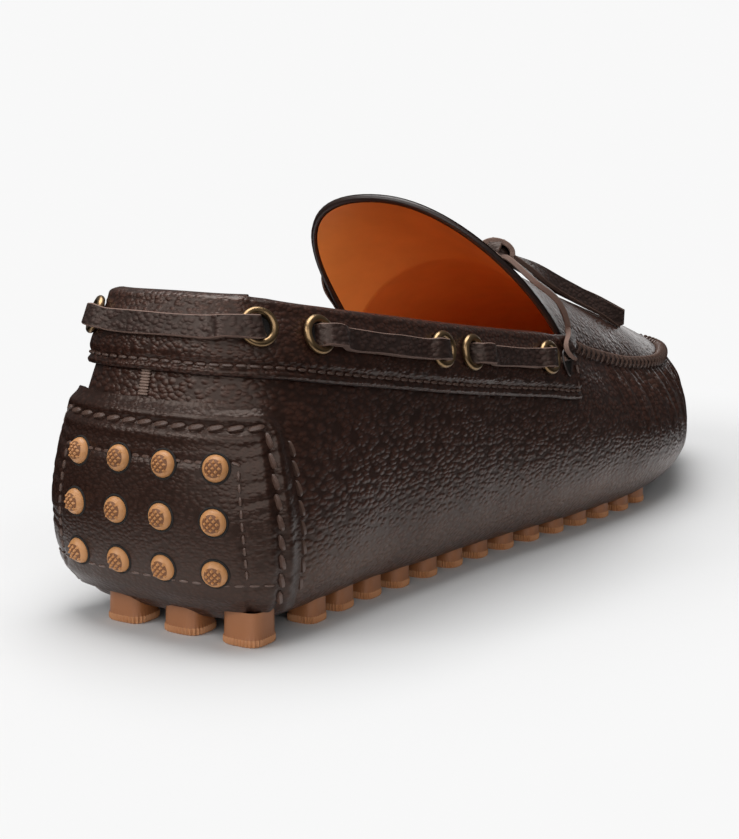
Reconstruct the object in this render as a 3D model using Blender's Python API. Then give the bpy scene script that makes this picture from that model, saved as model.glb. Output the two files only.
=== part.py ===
"""Driving moccasin, right shoe.

A soft leather upper is wrapped under the foot in one piece, like a boat. Rubber pegs reach the floor
through holes punched in it, from two plates laid inside. The apron and its high tongue close the top of
the foot, and a collar band carries brass eyelets and a leather lace.

Axes: +Y to the toe, +X to the outer side of the foot, +Z up. The pegs stand on Z = 0, and the origin is
the middle of the shoe's footprint. Lengths are in metres.
"""

import math

import bmesh
import bpy
import numpy as np

# Last: the sizes that the shoe is drawn from
LENGTH = 0.2845
HEEL_WIDTH = 0.0655
BALL_WIDTH = 0.0955
HEEL_HEIGHT = 0.0738
TOE_HEIGHT = 0.0385
WIDEST_HEIGHT = 0.028
INSTEP_RISE = 0.0255
TOP_INSET = 0.0125
FLOOR_INSET = 0.015
TOE_SPRING = 0.009
TOE_SPRING_START = 0.172

# Leather, rubber and the play between them
WALL = 0.0018
GAP = 0.0003
SEAM_RISE = 0.0026
APRON_THICKNESS = 0.0022
APRON_GAP = 0.0005
APRON_SEAT = 0.6
INSOLE_THICKNESS = 0.0025
PLATE_THICKNESS = 0.0015

# Pegs under the foot
PEG_REACH = 0.0036
PEG_WIDTH = 0.0078
PEG_PITCH = 0.0119
PEG_TAPER = 0.94
PEG_OVER_EDGE = 0.0026
PEG_FIELD_PITCH = 0.0230
PEG_FIELD_ROWS = 4
PEG_SEAT = 0.0012
PEG_HOLE_HEIGHT = 0.0125
FIRST_PEG_ALONG = 0.0310
LAST_PEG_ALONG = 0.1880
TOE_PEG_INSET = 0.0150
TOE_PEGS_END = 0.2450
REAR_PEG_WIDTH = 0.0100
REAR_PEG_ALONG = 0.0103
REAR_PEG_PITCH = 0.0155
REAR_PEG_SHIFT = 0.0045
SOLE_SPLIT_ALONG = 0.1340
SOLE_SPLIT_GAP = 0.0040

# Heel patch and the studs that stand through it
PATCH_THICKNESS = 0.0013
PATCH_REACH = 0.0335
PATCH_TOP = 0.0515
PATCH_FOOT = 0.0085
PATCH_CORNER = 0.0070
PATCH_FLARE = 0.0034
FLARE_POWER = 10
PATCH_BORDER = 0.0040
STUD_PLATE = 0.0009
STUD_WIDTH = 0.0058
STUD_REACH = 0.0020
STUD_PITCH = 0.0118
STUD_ROW_PITCH = 0.0106
STUD_TOP_ROW = 0.0385
STUD_SHIFT = 0.0003

# Collar band, eyelets and lace
BAND_THICKNESS = 0.0014
BAND_HEIGHT = 0.0165
BAND_LINING_DROP = 0.0060
LINING_GAP = 0.0006
BAND_TUNNEL = 0.0012
BAND_SWELL = 0.0035
BAND_SHOULDER = 0.0014
BAND_END_ROW = 8.25
EYELET_WIDTH = 0.0089
EYELET_BORE = 0.0060
EYELET_FLANGE = 0.0009
EYELET_WALL = 0.0004
EYELET_SIDES = 10
EYELET_DROP = 0.0068
TIE_HOLE_WIDTH = 0.0056
LACE_WIDTH = 0.0043
LACE_THICKNESS = 0.0014
# Places of the eyelets, measured along the top line from the middle of the heel, as shares of LENGTH
EYELET_SHARES = (0.0685, 0.1178, 0.2724, 0.3163, 0.4446)
TIE_HOLE_SHARE = 0.4780
EYELET_PLACES = tuple(share * LENGTH for share in EYELET_SHARES)
TIE_HOLE_PLACE = TIE_HOLE_SHARE * LENGTH

# Tongue, which carries the apron on past the throat
TONGUE_LENGTH = 0.0330
TONGUE_LIFT = 0.0165
TONGUE_FLARE = 0.30
TONGUE_SHIFT = -0.0080

# Sections of the last from heel to toe. outer and inner are the two sides of its widest line.
# along: share of LENGTH; across: share of HEEL_WIDTH as far as the waist, then of BALL_WIDTH;
# top: height of the top line between TOE_HEIGHT (0) and HEEL_HEIGHT (1); top_inset: share of TOP_INSET;
# widest: share of WIDEST_HEIGHT; floor_outer, floor_inner: shares of FLOOR_INSET; lean: power of the wall's
# curve inward; crown: rise of the apron, share of INSTEP_RISE.
COLUMNS = (
    "outer_along", "outer_across", "inner_along", "inner_across",
    "top", "top_inset", "widest", "floor_outer", "floor_inner", "lean", "crown",
)
SECTIONS = (
    (0.0000, 0.000, 0.0000, 0.000, 1.000, 0.72, 1.00, 0.73, 0.73, 1.5, 1.00),
    (0.0024, 0.206, 0.0024, -0.210, 0.995, 0.77, 1.00, 0.73, 0.73, 1.5, 1.00),
    (0.0174, 0.378, 0.0160, -0.390, 0.984, 0.96, 1.00, 0.73, 0.73, 1.5, 1.00),
    (0.0540, 0.466, 0.0510, -0.476, 0.958, 0.90, 0.96, 0.80, 0.80, 1.5, 1.00),
    (0.1115, 0.500, 0.1115, -0.502, 0.886, 0.69, 0.93, 0.92, 0.98, 1.5, 1.00),
    (0.1810, 0.518, 0.1810, -0.500, 0.798, 0.48, 0.93, 0.98, 1.20, 1.5, 1.00),
    (0.2650, 0.383, 0.2650, -0.358, 0.690, 0.39, 0.93, 1.00, 1.45, 1.5, 1.00),
    (0.3550, 0.409, 0.3550, -0.380, 0.585, 0.38, 0.93, 1.02, 1.50, 1.5, 1.00),
    (0.4460, 0.448, 0.4460, -0.418, 0.475, 0.44, 0.90, 1.02, 1.35, 1.6, 1.00),
    (0.5370, 0.476, 0.5370, -0.460, 0.275, 0.62, 0.84, 0.95, 1.10, 1.8, 0.96),
    (0.6340, 0.492, 0.6270, -0.494, 0.125, 0.72, 0.75, 0.87, 0.90, 2.0, 0.86),
    (0.7390, 0.466, 0.7210, -0.508, 0.045, 0.68, 0.60, 0.85, 0.85, 2.1, 0.70),
    (0.8360, 0.376, 0.8220, -0.462, 0.015, 0.58, 0.44, 0.85, 0.85, 2.2, 0.50),
    (0.9190, 0.268, 0.9230, -0.352, 0.003, 0.56, 0.38, 0.87, 0.87, 2.2, 0.28),
    (0.9790, 0.118, 0.9790, -0.210, 0.000, 0.56, 0.36, 0.87, 0.87, 2.2, 0.10),
    (1.0000, -0.045, 1.0000, -0.045, 0.000, 0.58, 0.36, 0.87, 0.87, 2.2, 0.00),
)
HEEL_ROWS = 6
LAST_ROW = len(SECTIONS) - 1
# Rows that the last is read at: every half row where it curves, and every row along the waist
READ_ROWS = tuple(k / 2 for k in range(11)) + (6.0, 7.0, 8.0, 8.25) + tuple(8.5 + k / 2 for k in range(14))
STATION_CLEAR = 0.12

# Levels of a section: 0 is the edge of the flat floor, 1 the widest line, 2 the foot of the seam, 3 the top
FLOOR_LEVELS = (0.0, 0.3, 0.55)
WALL_LEVELS = FLOOR_LEVELS + (0.8, 1.0, 1.4, 1.75, 2.0, 3.0)
SECTION_POWER = 2.2
SMOOTH_ANGLE = 30
APRON_POWER = 0.7
APRON_COLUMNS = 12
TONGUE_ROUND = 2.8
TONGUE_ROWS = 5
THROAT_ROW = 8.5
COLLAR_BLEND = 0.5


def start_empty():
    for thing in list(bpy.data.objects):
        bpy.data.objects.remove(thing, do_unlink=True)


def material(name, colour, roughness, metallic=0.0):
    """A plain finish for one piece."""
    made = bpy.data.materials.new(name)
    made.use_nodes = True
    shader = made.node_tree.nodes["Principled BSDF"]
    shader.inputs["Base Color"].default_value = (*colour, 1.0)
    shader.inputs["Roughness"].default_value = roughness
    shader.inputs["Metallic"].default_value = metallic
    made.diffuse_color = (*colour, 1.0)
    return made


# Curves of the last

def smooth_value(values, t, closed):
    """Reads a list of values at place t, on a smooth curve through them all."""
    values = np.asarray(values, float)
    count = len(values)
    i = int(math.floor(t))
    f = t - i
    if closed:
        a, b, c, d = (values[(i + k) % count] for k in (-1, 0, 1, 2))
    else:
        i = min(max(i, 0), count - 2)
        f = t - i
        mirrored = [abs(i - 1), i, i + 1, i + 2]
        if mirrored[3] > count - 1:
            mirrored[3] = 2 * (count - 1) - mirrored[3]
        a, b, c, d = (values[k] for k in mirrored)
    return 0.5 * (2 * b + (c - a) * f + (2 * a - 5 * b + 4 * c - d) * f**2 + (3 * b - a - 3 * c + d) * f**3)


def column(name):
    return [row[COLUMNS.index(name)] for row in SECTIONS]


def widest_line():
    """Plan of the widest line: up the outer side from heel to toe, and back down the inner side."""
    outer, inner = [], []
    for number, row in enumerate(SECTIONS):
        width = HEEL_WIDTH if number < HEEL_ROWS else BALL_WIDTH
        outer.append((row[1] * width, row[0] * LENGTH))
        inner.append((row[3] * width, row[2] * LENGTH))
    return outer + inner[LAST_ROW - 1 : 0 : -1]


OUTLINE = widest_line()
LOOP = len(OUTLINE)


def row_of(loop_t):
    """Row of SECTIONS at a place on the loop, and which side it lies on."""
    loop_t = loop_t % LOOP
    return (loop_t, "outer") if loop_t <= LAST_ROW else (LOOP - loop_t, "inner")


def outline_at(loop_t):
    """Plan point of the widest line and the direction out of the foot there."""
    step = 0.01
    here = smooth_value(OUTLINE, loop_t, True)
    ahead = smooth_value(OUTLINE, loop_t + step, True)
    behind = smooth_value(OUTLINE, loop_t - step, True)
    run = (ahead - behind) / np.linalg.norm(ahead - behind)
    return here, np.array((run[1], -run[0]))


def toe_lift(y):
    """Height that the toe spring adds at a distance y from the heel."""
    past = max(0.0, y - TOE_SPRING_START) / (LENGTH - TOE_SPRING_START)
    return TOE_SPRING * past**2


def section_at(loop_t):
    """Named lengths of the section at a place on the loop."""
    row, side = row_of(loop_t)

    def read(name):
        return float(smooth_value(column(name), row, False))

    lift = toe_lift(outline_at(loop_t)[0][1])
    top = TOE_HEIGHT + (HEEL_HEIGHT - TOE_HEIGHT) * read("top")
    collar = min(1.0, max(0.0, (THROAT_ROW - row) / COLLAR_BLEND))
    rise = SEAM_RISE + (BAND_THICKNESS - SEAM_RISE) * collar
    cover = (BAND_THICKNESS + GAP) * collar
    return {
        "floor": PEG_REACH + lift,
        "widest": WIDEST_HEIGHT * read("widest") + lift,
        "top": top - cover,
        "rise": rise,
        "top_inset": TOP_INSET * read("top_inset"),
        "floor_inset": FLOOR_INSET * read("floor_" + side),
        "lean": read("lean"),
        "crown": INSTEP_RISE * read("crown"),
    }


def profile(section, level):
    """Distance out from the widest line and height of the outer face at a level."""
    if level <= 1.0:
        angle = level * math.pi / 2
        out = -section["floor_inset"] * (1 - math.sin(angle) ** (2 / SECTION_POWER))
        up = (section["widest"] - section["floor"]) * (1 - math.cos(angle) ** (2 / SECTION_POWER))
        return out, section["floor"] + up
    seam_foot = section["top"] - section["rise"]
    if level <= 2.0:
        part = level - 1.0
        out = -section["top_inset"] * part ** section["lean"]
        return out, section["widest"] + (seam_foot - section["widest"]) * part
    return -section["top_inset"], seam_foot + section["rise"] * (level - 2.0)


def profile_normal(section, level):
    if level <= 0.0:
        return 0.0, -1.0
    if level >= 2.0:
        return 1.0, 0.0
    step = 0.004
    low = profile(section, max(level - step, 0.0))
    high = profile(section, min(level + step, 2.0))
    out, up = high[0] - low[0], high[1] - low[1]
    size = math.hypot(out, up)
    return up / size, -out / size


def skin(loop_t, level, offset):
    """A point on the upper's outer face, moved out of the leather by offset."""
    section = section_at(loop_t)
    here, outward = outline_at(loop_t)
    out, height = profile(section, level)
    normal_out, normal_up = profile_normal(section, level)
    flat = here + outward * (out + offset * normal_out)
    return np.array((flat[0], flat[1], height + offset * normal_up))


def skin_direction(loop_t, level):
    return (skin(loop_t, level, 0.001) - skin(loop_t, level, 0.0)) / 0.001


def level_at_height(loop_t, height):
    """Level where the outer face reaches a height."""
    section = section_at(loop_t)
    low, high = 0.0, 3.0
    for _ in range(40):
        middle = (low + high) / 2
        if profile(section, middle)[1] < height:
            low = middle
        else:
            high = middle
    return (low + high) / 2


def walked_round(level):
    """Distances from the middle of the heel at small steps round each side, at a level."""
    rows = np.linspace(0, LAST_ROW * 0.75, 240)
    sides = []
    for sign in (1, -1):
        points = np.array([skin(sign * row, level, 0.0) for row in rows])
        steps = np.linalg.norm(np.diff(points, axis=0), axis=1)
        sides.append(np.concatenate([[0.0], np.cumsum(steps)]))
    return rows, sides


WALKS = {level: walked_round(level) for level in (1.0, 3.0)}


def place_along(distance, level):
    """Loop place at a distance round from the middle of the heel; a negative one is on the inner side."""
    rows, (outer, inner) = WALKS[level]
    if distance >= 0:
        return float(np.interp(distance, outer, rows))
    return -float(np.interp(-distance, inner, rows))


# Solids from their faces

def make_object(name, faces, finish):
    """One closed mesh from faces given by their corner points. Corners that meet become one."""
    numbers, points, polygons = {}, [], []
    for face in faces:
        polygon = []
        for corner in face:
            key = tuple(round(float(value) * 1e7) for value in corner)
            if key not in numbers:
                numbers[key] = len(points)
                points.append(tuple(float(value) for value in corner))
            if numbers[key] not in polygon:
                polygon.append(numbers[key])
        if len(polygon) > 2:
            polygons.append(polygon)
    mesh = bpy.data.meshes.new(name)
    mesh.from_pydata(points, [], polygons)
    work = bmesh.new()
    work.from_mesh(mesh)
    bmesh.ops.recalc_face_normals(work, faces=work.faces)
    if work.calc_volume(signed=True) < 0:
        bmesh.ops.reverse_faces(work, faces=work.faces)
    work.to_mesh(mesh)
    work.free()
    thing = bpy.data.objects.new(name, mesh)
    bpy.context.collection.objects.link(thing)
    mesh.materials.append(finish)
    mesh.shade_smooth()
    mesh.set_sharp_from_angle(angle=math.radians(SMOOTH_ANGLE))
    return thing


def sheet(grid, wrap=False):
    """Faces of a grid of points; wrap joins its last row to its first."""
    faces = []
    for i in range(len(grid) if wrap else len(grid) - 1):
        here, there = grid[i], grid[(i + 1) % len(grid)]
        for j in range(len(here) - 1):
            faces.append((here[j], here[j + 1], there[j + 1], there[j]))
    return faces


def strip(line_a, line_b, wrap=False):
    """Faces between two lines of points."""
    return sheet([list(pair) for pair in zip(line_a, line_b)], wrap)


def slab(outer, inner):
    """Faces of a solid between two open grids of the same size."""
    faces = sheet(outer) + sheet(inner)
    faces += strip(outer[0], inner[0]) + strip(outer[-1], inner[-1])
    faces += strip([row[0] for row in outer], [row[0] for row in inner])
    faces += strip([row[-1] for row in outer], [row[-1] for row in inner])
    return faces


def side_stations(first, last, extra=()):
    """Rows between two places, at every row read, at both ends and at any extra place."""
    fixed = [first, *extra, last]
    inside = [
        t for t in READ_ROWS
        if first < t < last and all(abs(t - place) > STATION_CLEAR for place in fixed)
    ]
    return sorted(inside + fixed)


def both_sides(rows):
    """Places on the loop from the inner side round the heel to the outer side."""
    return [-row for row in rows[:0:-1]] + rows


def boat(first, last, levels, outer_offset, inner_offset):
    """Faces of a shell that follows the upper: floor and wall, between two offsets from its outer face."""
    rows = side_stations(first, last)
    if first == 0 and last == LAST_ROW:
        loop = rows + [-row for row in rows[-2:0:-1]]
    elif first == 0:
        loop = [-row for row in rows[:0:-1]] + rows
    else:
        loop = rows + [-row for row in rows[-2::-1]]
    whole = first == 0 and last == LAST_ROW
    faces = []
    skins = []
    for offset in (outer_offset, inner_offset):
        wall = [[skin(t, level, offset) for level in levels] for t in loop]
        floor = [(skin(row, 0.0, offset), skin(-row, 0.0, offset)) for row in rows]
        faces += sheet(wall, whole) + sheet(floor)
        skins.append((wall, floor))
    (wall, floor), (wall_in, floor_in) = skins
    faces += strip([line[-1] for line in wall], [line[-1] for line in wall_in], whole)
    if not whole:
        end = -1 if first == 0 else 0
        faces += strip(wall[0], wall_in[0]) + strip(wall[-1], wall_in[-1])
        faces += strip(floor[end], floor_in[end])
    return faces


def prism_between(centre, directions, low, high, half_width, top_scale=1.0, cut=0.29):
    """Faces of an eight-sided peg, a square with its corners cut."""
    side, forward, up = directions
    corner = half_width * (1 - cut * 2)
    outline = [
        (half_width, -corner), (half_width, corner), (corner, half_width), (-corner, half_width),
        (-half_width, corner), (-half_width, -corner), (-corner, -half_width), (corner, -half_width),
    ]
    rings = []
    for height, scale in ((low, 1.0), (high, top_scale)):
        rings.append([centre + side * a * scale + forward * b * scale + up * height for a, b in outline])
    return [rings[0], rings[1]] + strip(rings[0], rings[1], True)


def join_by(thing, tool, operation):
    """Cuts or joins another shape, which stays as a hidden guide."""
    tool.hide_render = True
    tool.display_type = "WIRE"
    modifier = thing.modifiers.new(tool.name, "BOOLEAN")
    modifier.operation = operation
    modifier.object = tool
    modifier.solver = "EXACT"


# Pegs under the foot

def peg_line_point(loop_t):
    """Plan point of the edge row, which stands just outside the edge of the flat floor."""
    here, outward = outline_at(loop_t)
    return here - outward * (section_at(loop_t)["floor_inset"] - PEG_OVER_EDGE)


def peg_line(side):
    """The edge row's line on one side, as distances from the heel and offsets across."""
    points = np.array([peg_line_point(side * row) for row in np.linspace(1, LAST_ROW, 300)])
    return points[:, 1], points[:, 0]


def peg_list():
    """Every peg under the foot: its centre in plan and its width."""
    pegs = []
    lines = {side: peg_line(side) for side in (1, -1)}
    count = round((LAST_PEG_ALONG - FIRST_PEG_ALONG) / PEG_PITCH)
    for side in (1, -1):
        for y in np.linspace(FIRST_PEG_ALONG, LAST_PEG_ALONG, count + 1):
            pegs.append((np.array((np.interp(y, *lines[side]), y)), PEG_WIDTH))
    y = FIRST_PEG_ALONG - PEG_PITCH / 2
    while y < TOE_PEGS_END:
        inset = PEG_PITCH if y < LAST_PEG_ALONG else TOE_PEG_INSET
        right, left = (np.interp(y, *lines[side]) - side * inset for side in (1, -1))
        count = int((right - left) / PEG_FIELD_PITCH) + 1
        for k in range(count):
            pegs.append((np.array((left + (right - left) * (k + 0.5) / count, y)), PEG_WIDTH))
        y += PEG_FIELD_ROWS * PEG_PITCH
    for k in (-1, 0, 1):
        pegs.append((np.array((REAR_PEG_SHIFT + k * REAR_PEG_PITCH, REAR_PEG_ALONG)), REAR_PEG_WIDTH))
    return pegs


UP_AXES = (np.array((1.0, 0, 0)), np.array((0, 1.0, 0)), np.array((0, 0, 1.0)))


def peg_solids(name, pegs, finish):
    """Pegs that reach from the floor into the plate."""
    faces = []
    for place, width in pegs:
        lift = toe_lift(place[1])
        centre = np.array((place[0], place[1], 0.0))
        top = PEG_REACH + WALL + GAP + PEG_SEAT
        faces += prism_between(centre, UP_AXES, top + lift, lift, width / 2, PEG_TAPER)
    return make_object(name, faces, finish)


def peg_cutters(name, pegs, finish):
    faces = []
    for place, width in pegs:
        lift = toe_lift(place[1])
        centre = np.array((place[0], place[1], 0.0))
        faces += prism_between(centre, UP_AXES, lift - PEG_REACH, lift + PEG_HOLE_HEIGHT, width / 2 + GAP)
    return make_object(name, faces, finish)


def build_foot(finishes):
    """Upper, the two pegged plates inside it, and the insole on them."""
    pegs = peg_list()
    upper = make_object("upper", boat(0, LAST_ROW, WALL_LEVELS, 0.0, -WALL), finishes["leather"])
    join_by(upper, peg_cutters("peg_holes", pegs, finishes["leather"]), "DIFFERENCE")
    plate_out = -(WALL + GAP)
    plate_in = plate_out - PLATE_THICKNESS
    half_gap = SOLE_SPLIT_GAP / 2
    back, front = (row_at_distance(SOLE_SPLIT_ALONG + step) for step in (-half_gap, half_gap))
    ends = {"outsole_heel": (0, back), "outsole_forepart": (front, LAST_ROW)}
    for name, (first, last) in ends.items():
        plate = make_object(name, boat(first, last, FLOOR_LEVELS, plate_out, plate_in), finishes["rubber"])
        near = [peg for peg in pegs if (peg[0][1] < SOLE_SPLIT_ALONG) == (first == 0)]
        join_by(plate, peg_solids(name + "_pegs", near, finishes["rubber"]), "UNION")
    insole_out = plate_in - GAP
    faces = boat(0, LAST_ROW, FLOOR_LEVELS[:2], insole_out, insole_out - INSOLE_THICKNESS)
    make_object("insole", faces, finishes["lining"])


def row_at_distance(y):
    """Row of the outer side that lies at a distance from the heel."""
    rows = np.linspace(0, LAST_ROW, 600)
    along = [outline_at(t)[0][1] for t in rows]
    return float(np.interp(y, along, rows))


# Apron and tongue

def apron_edge(row, side, inset):
    """Point at the apron's edge, against the inner face of the upper."""
    section = section_at(side * row)
    edge = skin(side * row, 2.0, -(WALL + APRON_GAP + inset))
    edge[2] = section["top"] - section["rise"] * APRON_SEAT
    return edge


def apron_point(row, across, inset):
    """Point on the apron's arch, where across runs from 1 at the outer edge to -1 at the inner one."""
    outer, inner = apron_edge(row, 1, inset), apron_edge(row, -1, inset)
    crown = max(section_at(row)["crown"] - inset, 0.0)
    point = inner + (outer - inner) * (across + 1) / 2
    point[2] += crown * (1 - across**2) ** APRON_POWER
    return point


ACROSS = [math.sin(math.pi * (0.5 - k / APRON_COLUMNS)) for k in range(APRON_COLUMNS + 1)]


def apron_line(row, inset):
    return [apron_point(row, across, inset) for across in ACROSS]


def tongue_lines(inset):
    """Lines that carry the apron's last arch on, back and up to the tongue's round edge."""
    throat = apron_line(THROAT_ROW, inset)
    middle = (throat[0][0] + throat[-1][0]) / 2
    lines = []
    for number in range(1, TONGUE_ROWS + 1):
        line = []
        for across, point in zip(ACROSS, throat):
            part = number / TONGUE_ROWS * (1 - abs(across) ** TONGUE_ROUND)
            moved = point.copy()
            moved[0] += ((point[0] - middle) * TONGUE_FLARE + TONGUE_SHIFT) * part
            moved[1] -= TONGUE_LENGTH * part
            moved[2] += TONGUE_LIFT * part
            line.append(moved)
        lines.append(line)
    return lines


def build_tongue_apron(finish):
    rows = side_stations(THROAT_ROW, LAST_ROW)[::-1]
    grids = []
    for inset in (0.0, APRON_THICKNESS):
        grids.append([apron_line(row, inset) for row in rows] + tongue_lines(inset))
    make_object("tongue_apron", slab(*grids), finish)


# Heel patch and studs

def patch_levels(loop_t, reach):
    """Foot and top of the patch at a place: its upper corners are rounded."""
    part = min(1.0, abs(loop_t) / reach)
    drop = PATCH_CORNER * (1 - math.sqrt(max(0.0, 1 - part**6)))
    return PATCH_FOOT, PATCH_TOP - drop


def build_heel_patch(leather, rubber):
    reach = place_along(PATCH_REACH, 1.0)
    flare = place_along(PATCH_REACH + PATCH_FLARE, 1.0) / reach - 1
    stud_reach = place_along(STUD_PITCH * 1.5 + STUD_WIDTH, 1.0)
    stations = both_sides(side_stations(0, reach, (stud_reach, reach - 0.25)))
    shares = (0.0, 0.05, 0.20, 0.37, 0.60, 0.84, 0.95, 1.0)
    inner, outer = [], []
    for t in stations:
        foot, top = patch_levels(t, reach)
        line_in, line_out = [], []
        for share in shares:
            level = level_at_height(t, foot + (top - foot) * share)
            inside = abs(t) < reach and 0.0 < share < 1.0
            lift = GAP + (STUD_PLATE + GAP if inside else 0.0)
            wider = t * (1 + flare * (1 - share) * (abs(t) / reach) ** FLARE_POWER)
            line_in.append(skin(wider, level, lift))
            line_out.append(skin(wider, level, lift + PATCH_THICKNESS))
        inner.append(line_in)
        outer.append(line_out)
    patch = make_object("heel_patch", slab(outer, inner), leather)

    plate_foot, plate_top = PATCH_FOOT + PATCH_BORDER, STUD_TOP_ROW + STUD_WIDTH
    stations = both_sides(side_stations(0, stud_reach))
    inner, outer = [], []
    for t in stations:
        levels = [level_at_height(t, height) for height in np.linspace(plate_foot, plate_top, 5)]
        inner.append([skin(t, level, GAP) for level in levels])
        outer.append([skin(t, level, GAP + STUD_PLATE) for level in levels])
    plate = make_object("heel_studs", slab(outer, inner), rubber)
    studs, holes = [], []
    for row in range(3):
        for place in (-1.5, -0.5, 0.5, 1.5):
            t = place_along(STUD_SHIFT + place * STUD_PITCH, 1.0)
            level = level_at_height(t, STUD_TOP_ROW - row * STUD_ROW_PITCH)
            centre, up = skin(t, level, 0.0), skin_direction(t, level)
            side = np.cross(up, (0, 0, 1.0))
            side /= np.linalg.norm(side)
            axes = (side, np.cross(up, side), up)
            base = GAP + STUD_PLATE / 2
            crown = GAP + STUD_PLATE + GAP + PATCH_THICKNESS + STUD_REACH
            studs += round_stud(centre, axes, base, crown, STUD_WIDTH / 2)
            holes += prism_between(centre, axes, 0.0, crown, STUD_WIDTH / 2 + GAP)
    join_by(plate, make_object("stud_shapes", studs, rubber), "UNION")
    join_by(patch, make_object("stud_holes", holes, leather), "DIFFERENCE")


def round_stud(centre, axes, base, crown, radius):
    """Faces of a stud with eight sides and a rounded end."""
    side, forward, up = axes
    rings = []
    for height, share in ((base, 1.0), (crown - radius / 2, 1.0), (crown, 0.6)):
        turn = [2 * math.pi * (k + 0.5) / 8 for k in range(8)]
        rings.append([
            centre + (side * math.cos(a) + forward * math.sin(a)) * radius * share + up * height
            for a in turn
        ])
    return [rings[0], rings[2]] + strip(rings[0], rings[1], True) + strip(rings[1], rings[2], True)


# Collar band, eyelets and lace

def collar_point(loop_t, drop, offset):
    """Point beside the collar: drop below the upper's own top edge, offset out of its face."""
    level = level_at_height(loop_t, section_at(loop_t)["top"] - drop)
    return skin(loop_t, level, offset)


def rim_point(loop_t, rise, offset):
    """Point over the upper's top edge."""
    point = skin(loop_t, 3.0, offset)
    point[2] += rise
    return point


BAND_FACE = GAP + BAND_TUNNEL + BAND_THICKNESS


def band_line(loop_t, thickness):
    """Section of the band, from its lower edge up, over the top line and down inside."""
    puffed = GAP + BAND_TUNNEL + thickness
    inside = -(WALL + LINING_GAP + thickness)
    low = BAND_HEIGHT - (BAND_THICKNESS + GAP)
    return [
        collar_point(loop_t, low, GAP + thickness),
        collar_point(loop_t, low - BAND_SWELL, puffed),
        collar_point(loop_t, BAND_SHOULDER, puffed),
        rim_point(loop_t, GAP + thickness, (GAP + puffed) / 2),
        rim_point(loop_t, GAP + thickness, (inside - WALL - LINING_GAP) / 2),
        collar_point(loop_t, BAND_SHOULDER, inside),
        collar_point(loop_t, BAND_LINING_DROP, inside),
    ]


def eyelet_frame(distance):
    """Centre on the upper's face behind an eyelet, and the axes along, up and out of the band."""
    step = 0.001
    drop = EYELET_DROP - BAND_THICKNESS - GAP
    t, ahead = place_along(distance, 3.0), place_along(distance + step, 3.0)
    centre = collar_point(t, drop, 0.0)
    along = collar_point(ahead, drop, 0.0) - centre
    outward = np.cross(along, collar_point(t, drop - step, 0.0) - centre)
    along /= np.linalg.norm(along)
    outward /= np.linalg.norm(outward)
    return centre, (along, np.cross(outward, along), outward)


def build_band(leather, brass):
    stations = both_sides(side_stations(0, BAND_END_ROW))
    outer = [band_line(t, BAND_THICKNESS) for t in stations]
    inner = [band_line(t, 0.0) for t in stations]
    band = make_object("collar_band", slab(outer, inner), leather)
    barrel = EYELET_BORE / 2 + EYELET_WALL
    holes = []
    for side in (1, -1):
        for place in EYELET_PLACES:
            centre, axes = eyelet_frame(side * place)
            holes += prism_between(centre, axes, 0.0, BAND_FACE * 2, barrel + GAP)
        centre, axes = eyelet_frame(side * TIE_HOLE_PLACE)
        holes += prism_between(centre, axes, 0.0, BAND_FACE * 2, TIE_HOLE_WIDTH / 2)
    join_by(band, make_object("eyelet_holes", holes, leather), "DIFFERENCE")
    seat = BAND_FACE + 2 * GAP
    face = seat + EYELET_FLANGE
    rim = EYELET_WIDTH / 2
    turned = (
        (EYELET_BORE / 2, BAND_FACE - BAND_THICKNESS), (EYELET_BORE / 2, face),
        (rim - EYELET_WALL, face), (rim, seat), (barrel, seat),
    )
    for side, word in ((1, "outer"), (-1, "inner")):
        for number, place in enumerate(EYELET_PLACES, 1):
            centre, (along, up, outward) = eyelet_frame(side * place)
            rings = []
            for k in range(EYELET_SIDES):
                a = 2 * math.pi * k / EYELET_SIDES
                spoke = along * math.cos(a) + up * math.sin(a)
                ring = [centre + spoke * radius + outward * height for radius, height in turned]
                rings.append(ring + ring[:1])
            make_object(f"eyelet_{word}_{number}", sheet(rings, True), brass)


def ribbon(name, points, normals, finish):
    """A flat strip of lace along a line of points."""
    points = np.array(points)
    runs = np.gradient(points, axis=0)
    sections = []
    for point, run, normal in zip(points, runs, normals):
        side = np.cross(run, normal)
        side *= LACE_WIDTH / 2 / np.linalg.norm(side)
        face = np.cross(side, run)
        face *= LACE_THICKNESS / 2 / np.linalg.norm(face)
        upper_edge, lower_edge = point + face, point - face
        sections.append([upper_edge + side, upper_edge - side, lower_edge - side, lower_edge + side])
    faces = [sections[0], sections[-1]]
    faces += sheet([section + section[:1] for section in sections])
    return make_object(name, faces, finish)


# How a strip leaves an eyelet: distance from its middle, and height of the strip's middle over the upper
LEAVE_EYELET = ((-0.0002, 0.0014), (0.0000, 0.0030), (0.0004, 0.0043), (0.0014, 0.0056), (0.0048, 0.0060))
RUN_HEIGHT = BAND_FACE + 2 * GAP + LACE_THICKNESS / 2
RUN_SETTLE = 0.0035
RUN_STEP = 0.0090


def build_run(name, start, end, finish):
    """A strip outside the band from one eyelet to the next."""
    settled = LEAVE_EYELET[-1][0] + RUN_SETTLE
    count = max(1, round((end - start - 2 * settled) / RUN_STEP))
    places = [(start + along, high) for along, high in LEAVE_EYELET]
    places += [(place, RUN_HEIGHT) for place in np.linspace(start + settled, end - settled, count + 1)]
    places += [(end - along, high) for along, high in LEAVE_EYELET[::-1]]
    frames = [eyelet_frame(distance) for distance, _ in places]
    points = np.array([centre + axes[2] * high for (centre, axes), (_, high) in zip(frames, places)])
    normals = [np.cross(run, axes[1]) for run, (_, axes) in zip(np.gradient(points, axis=0), frames)]
    ribbon(name, points, normals, finish)


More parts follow.
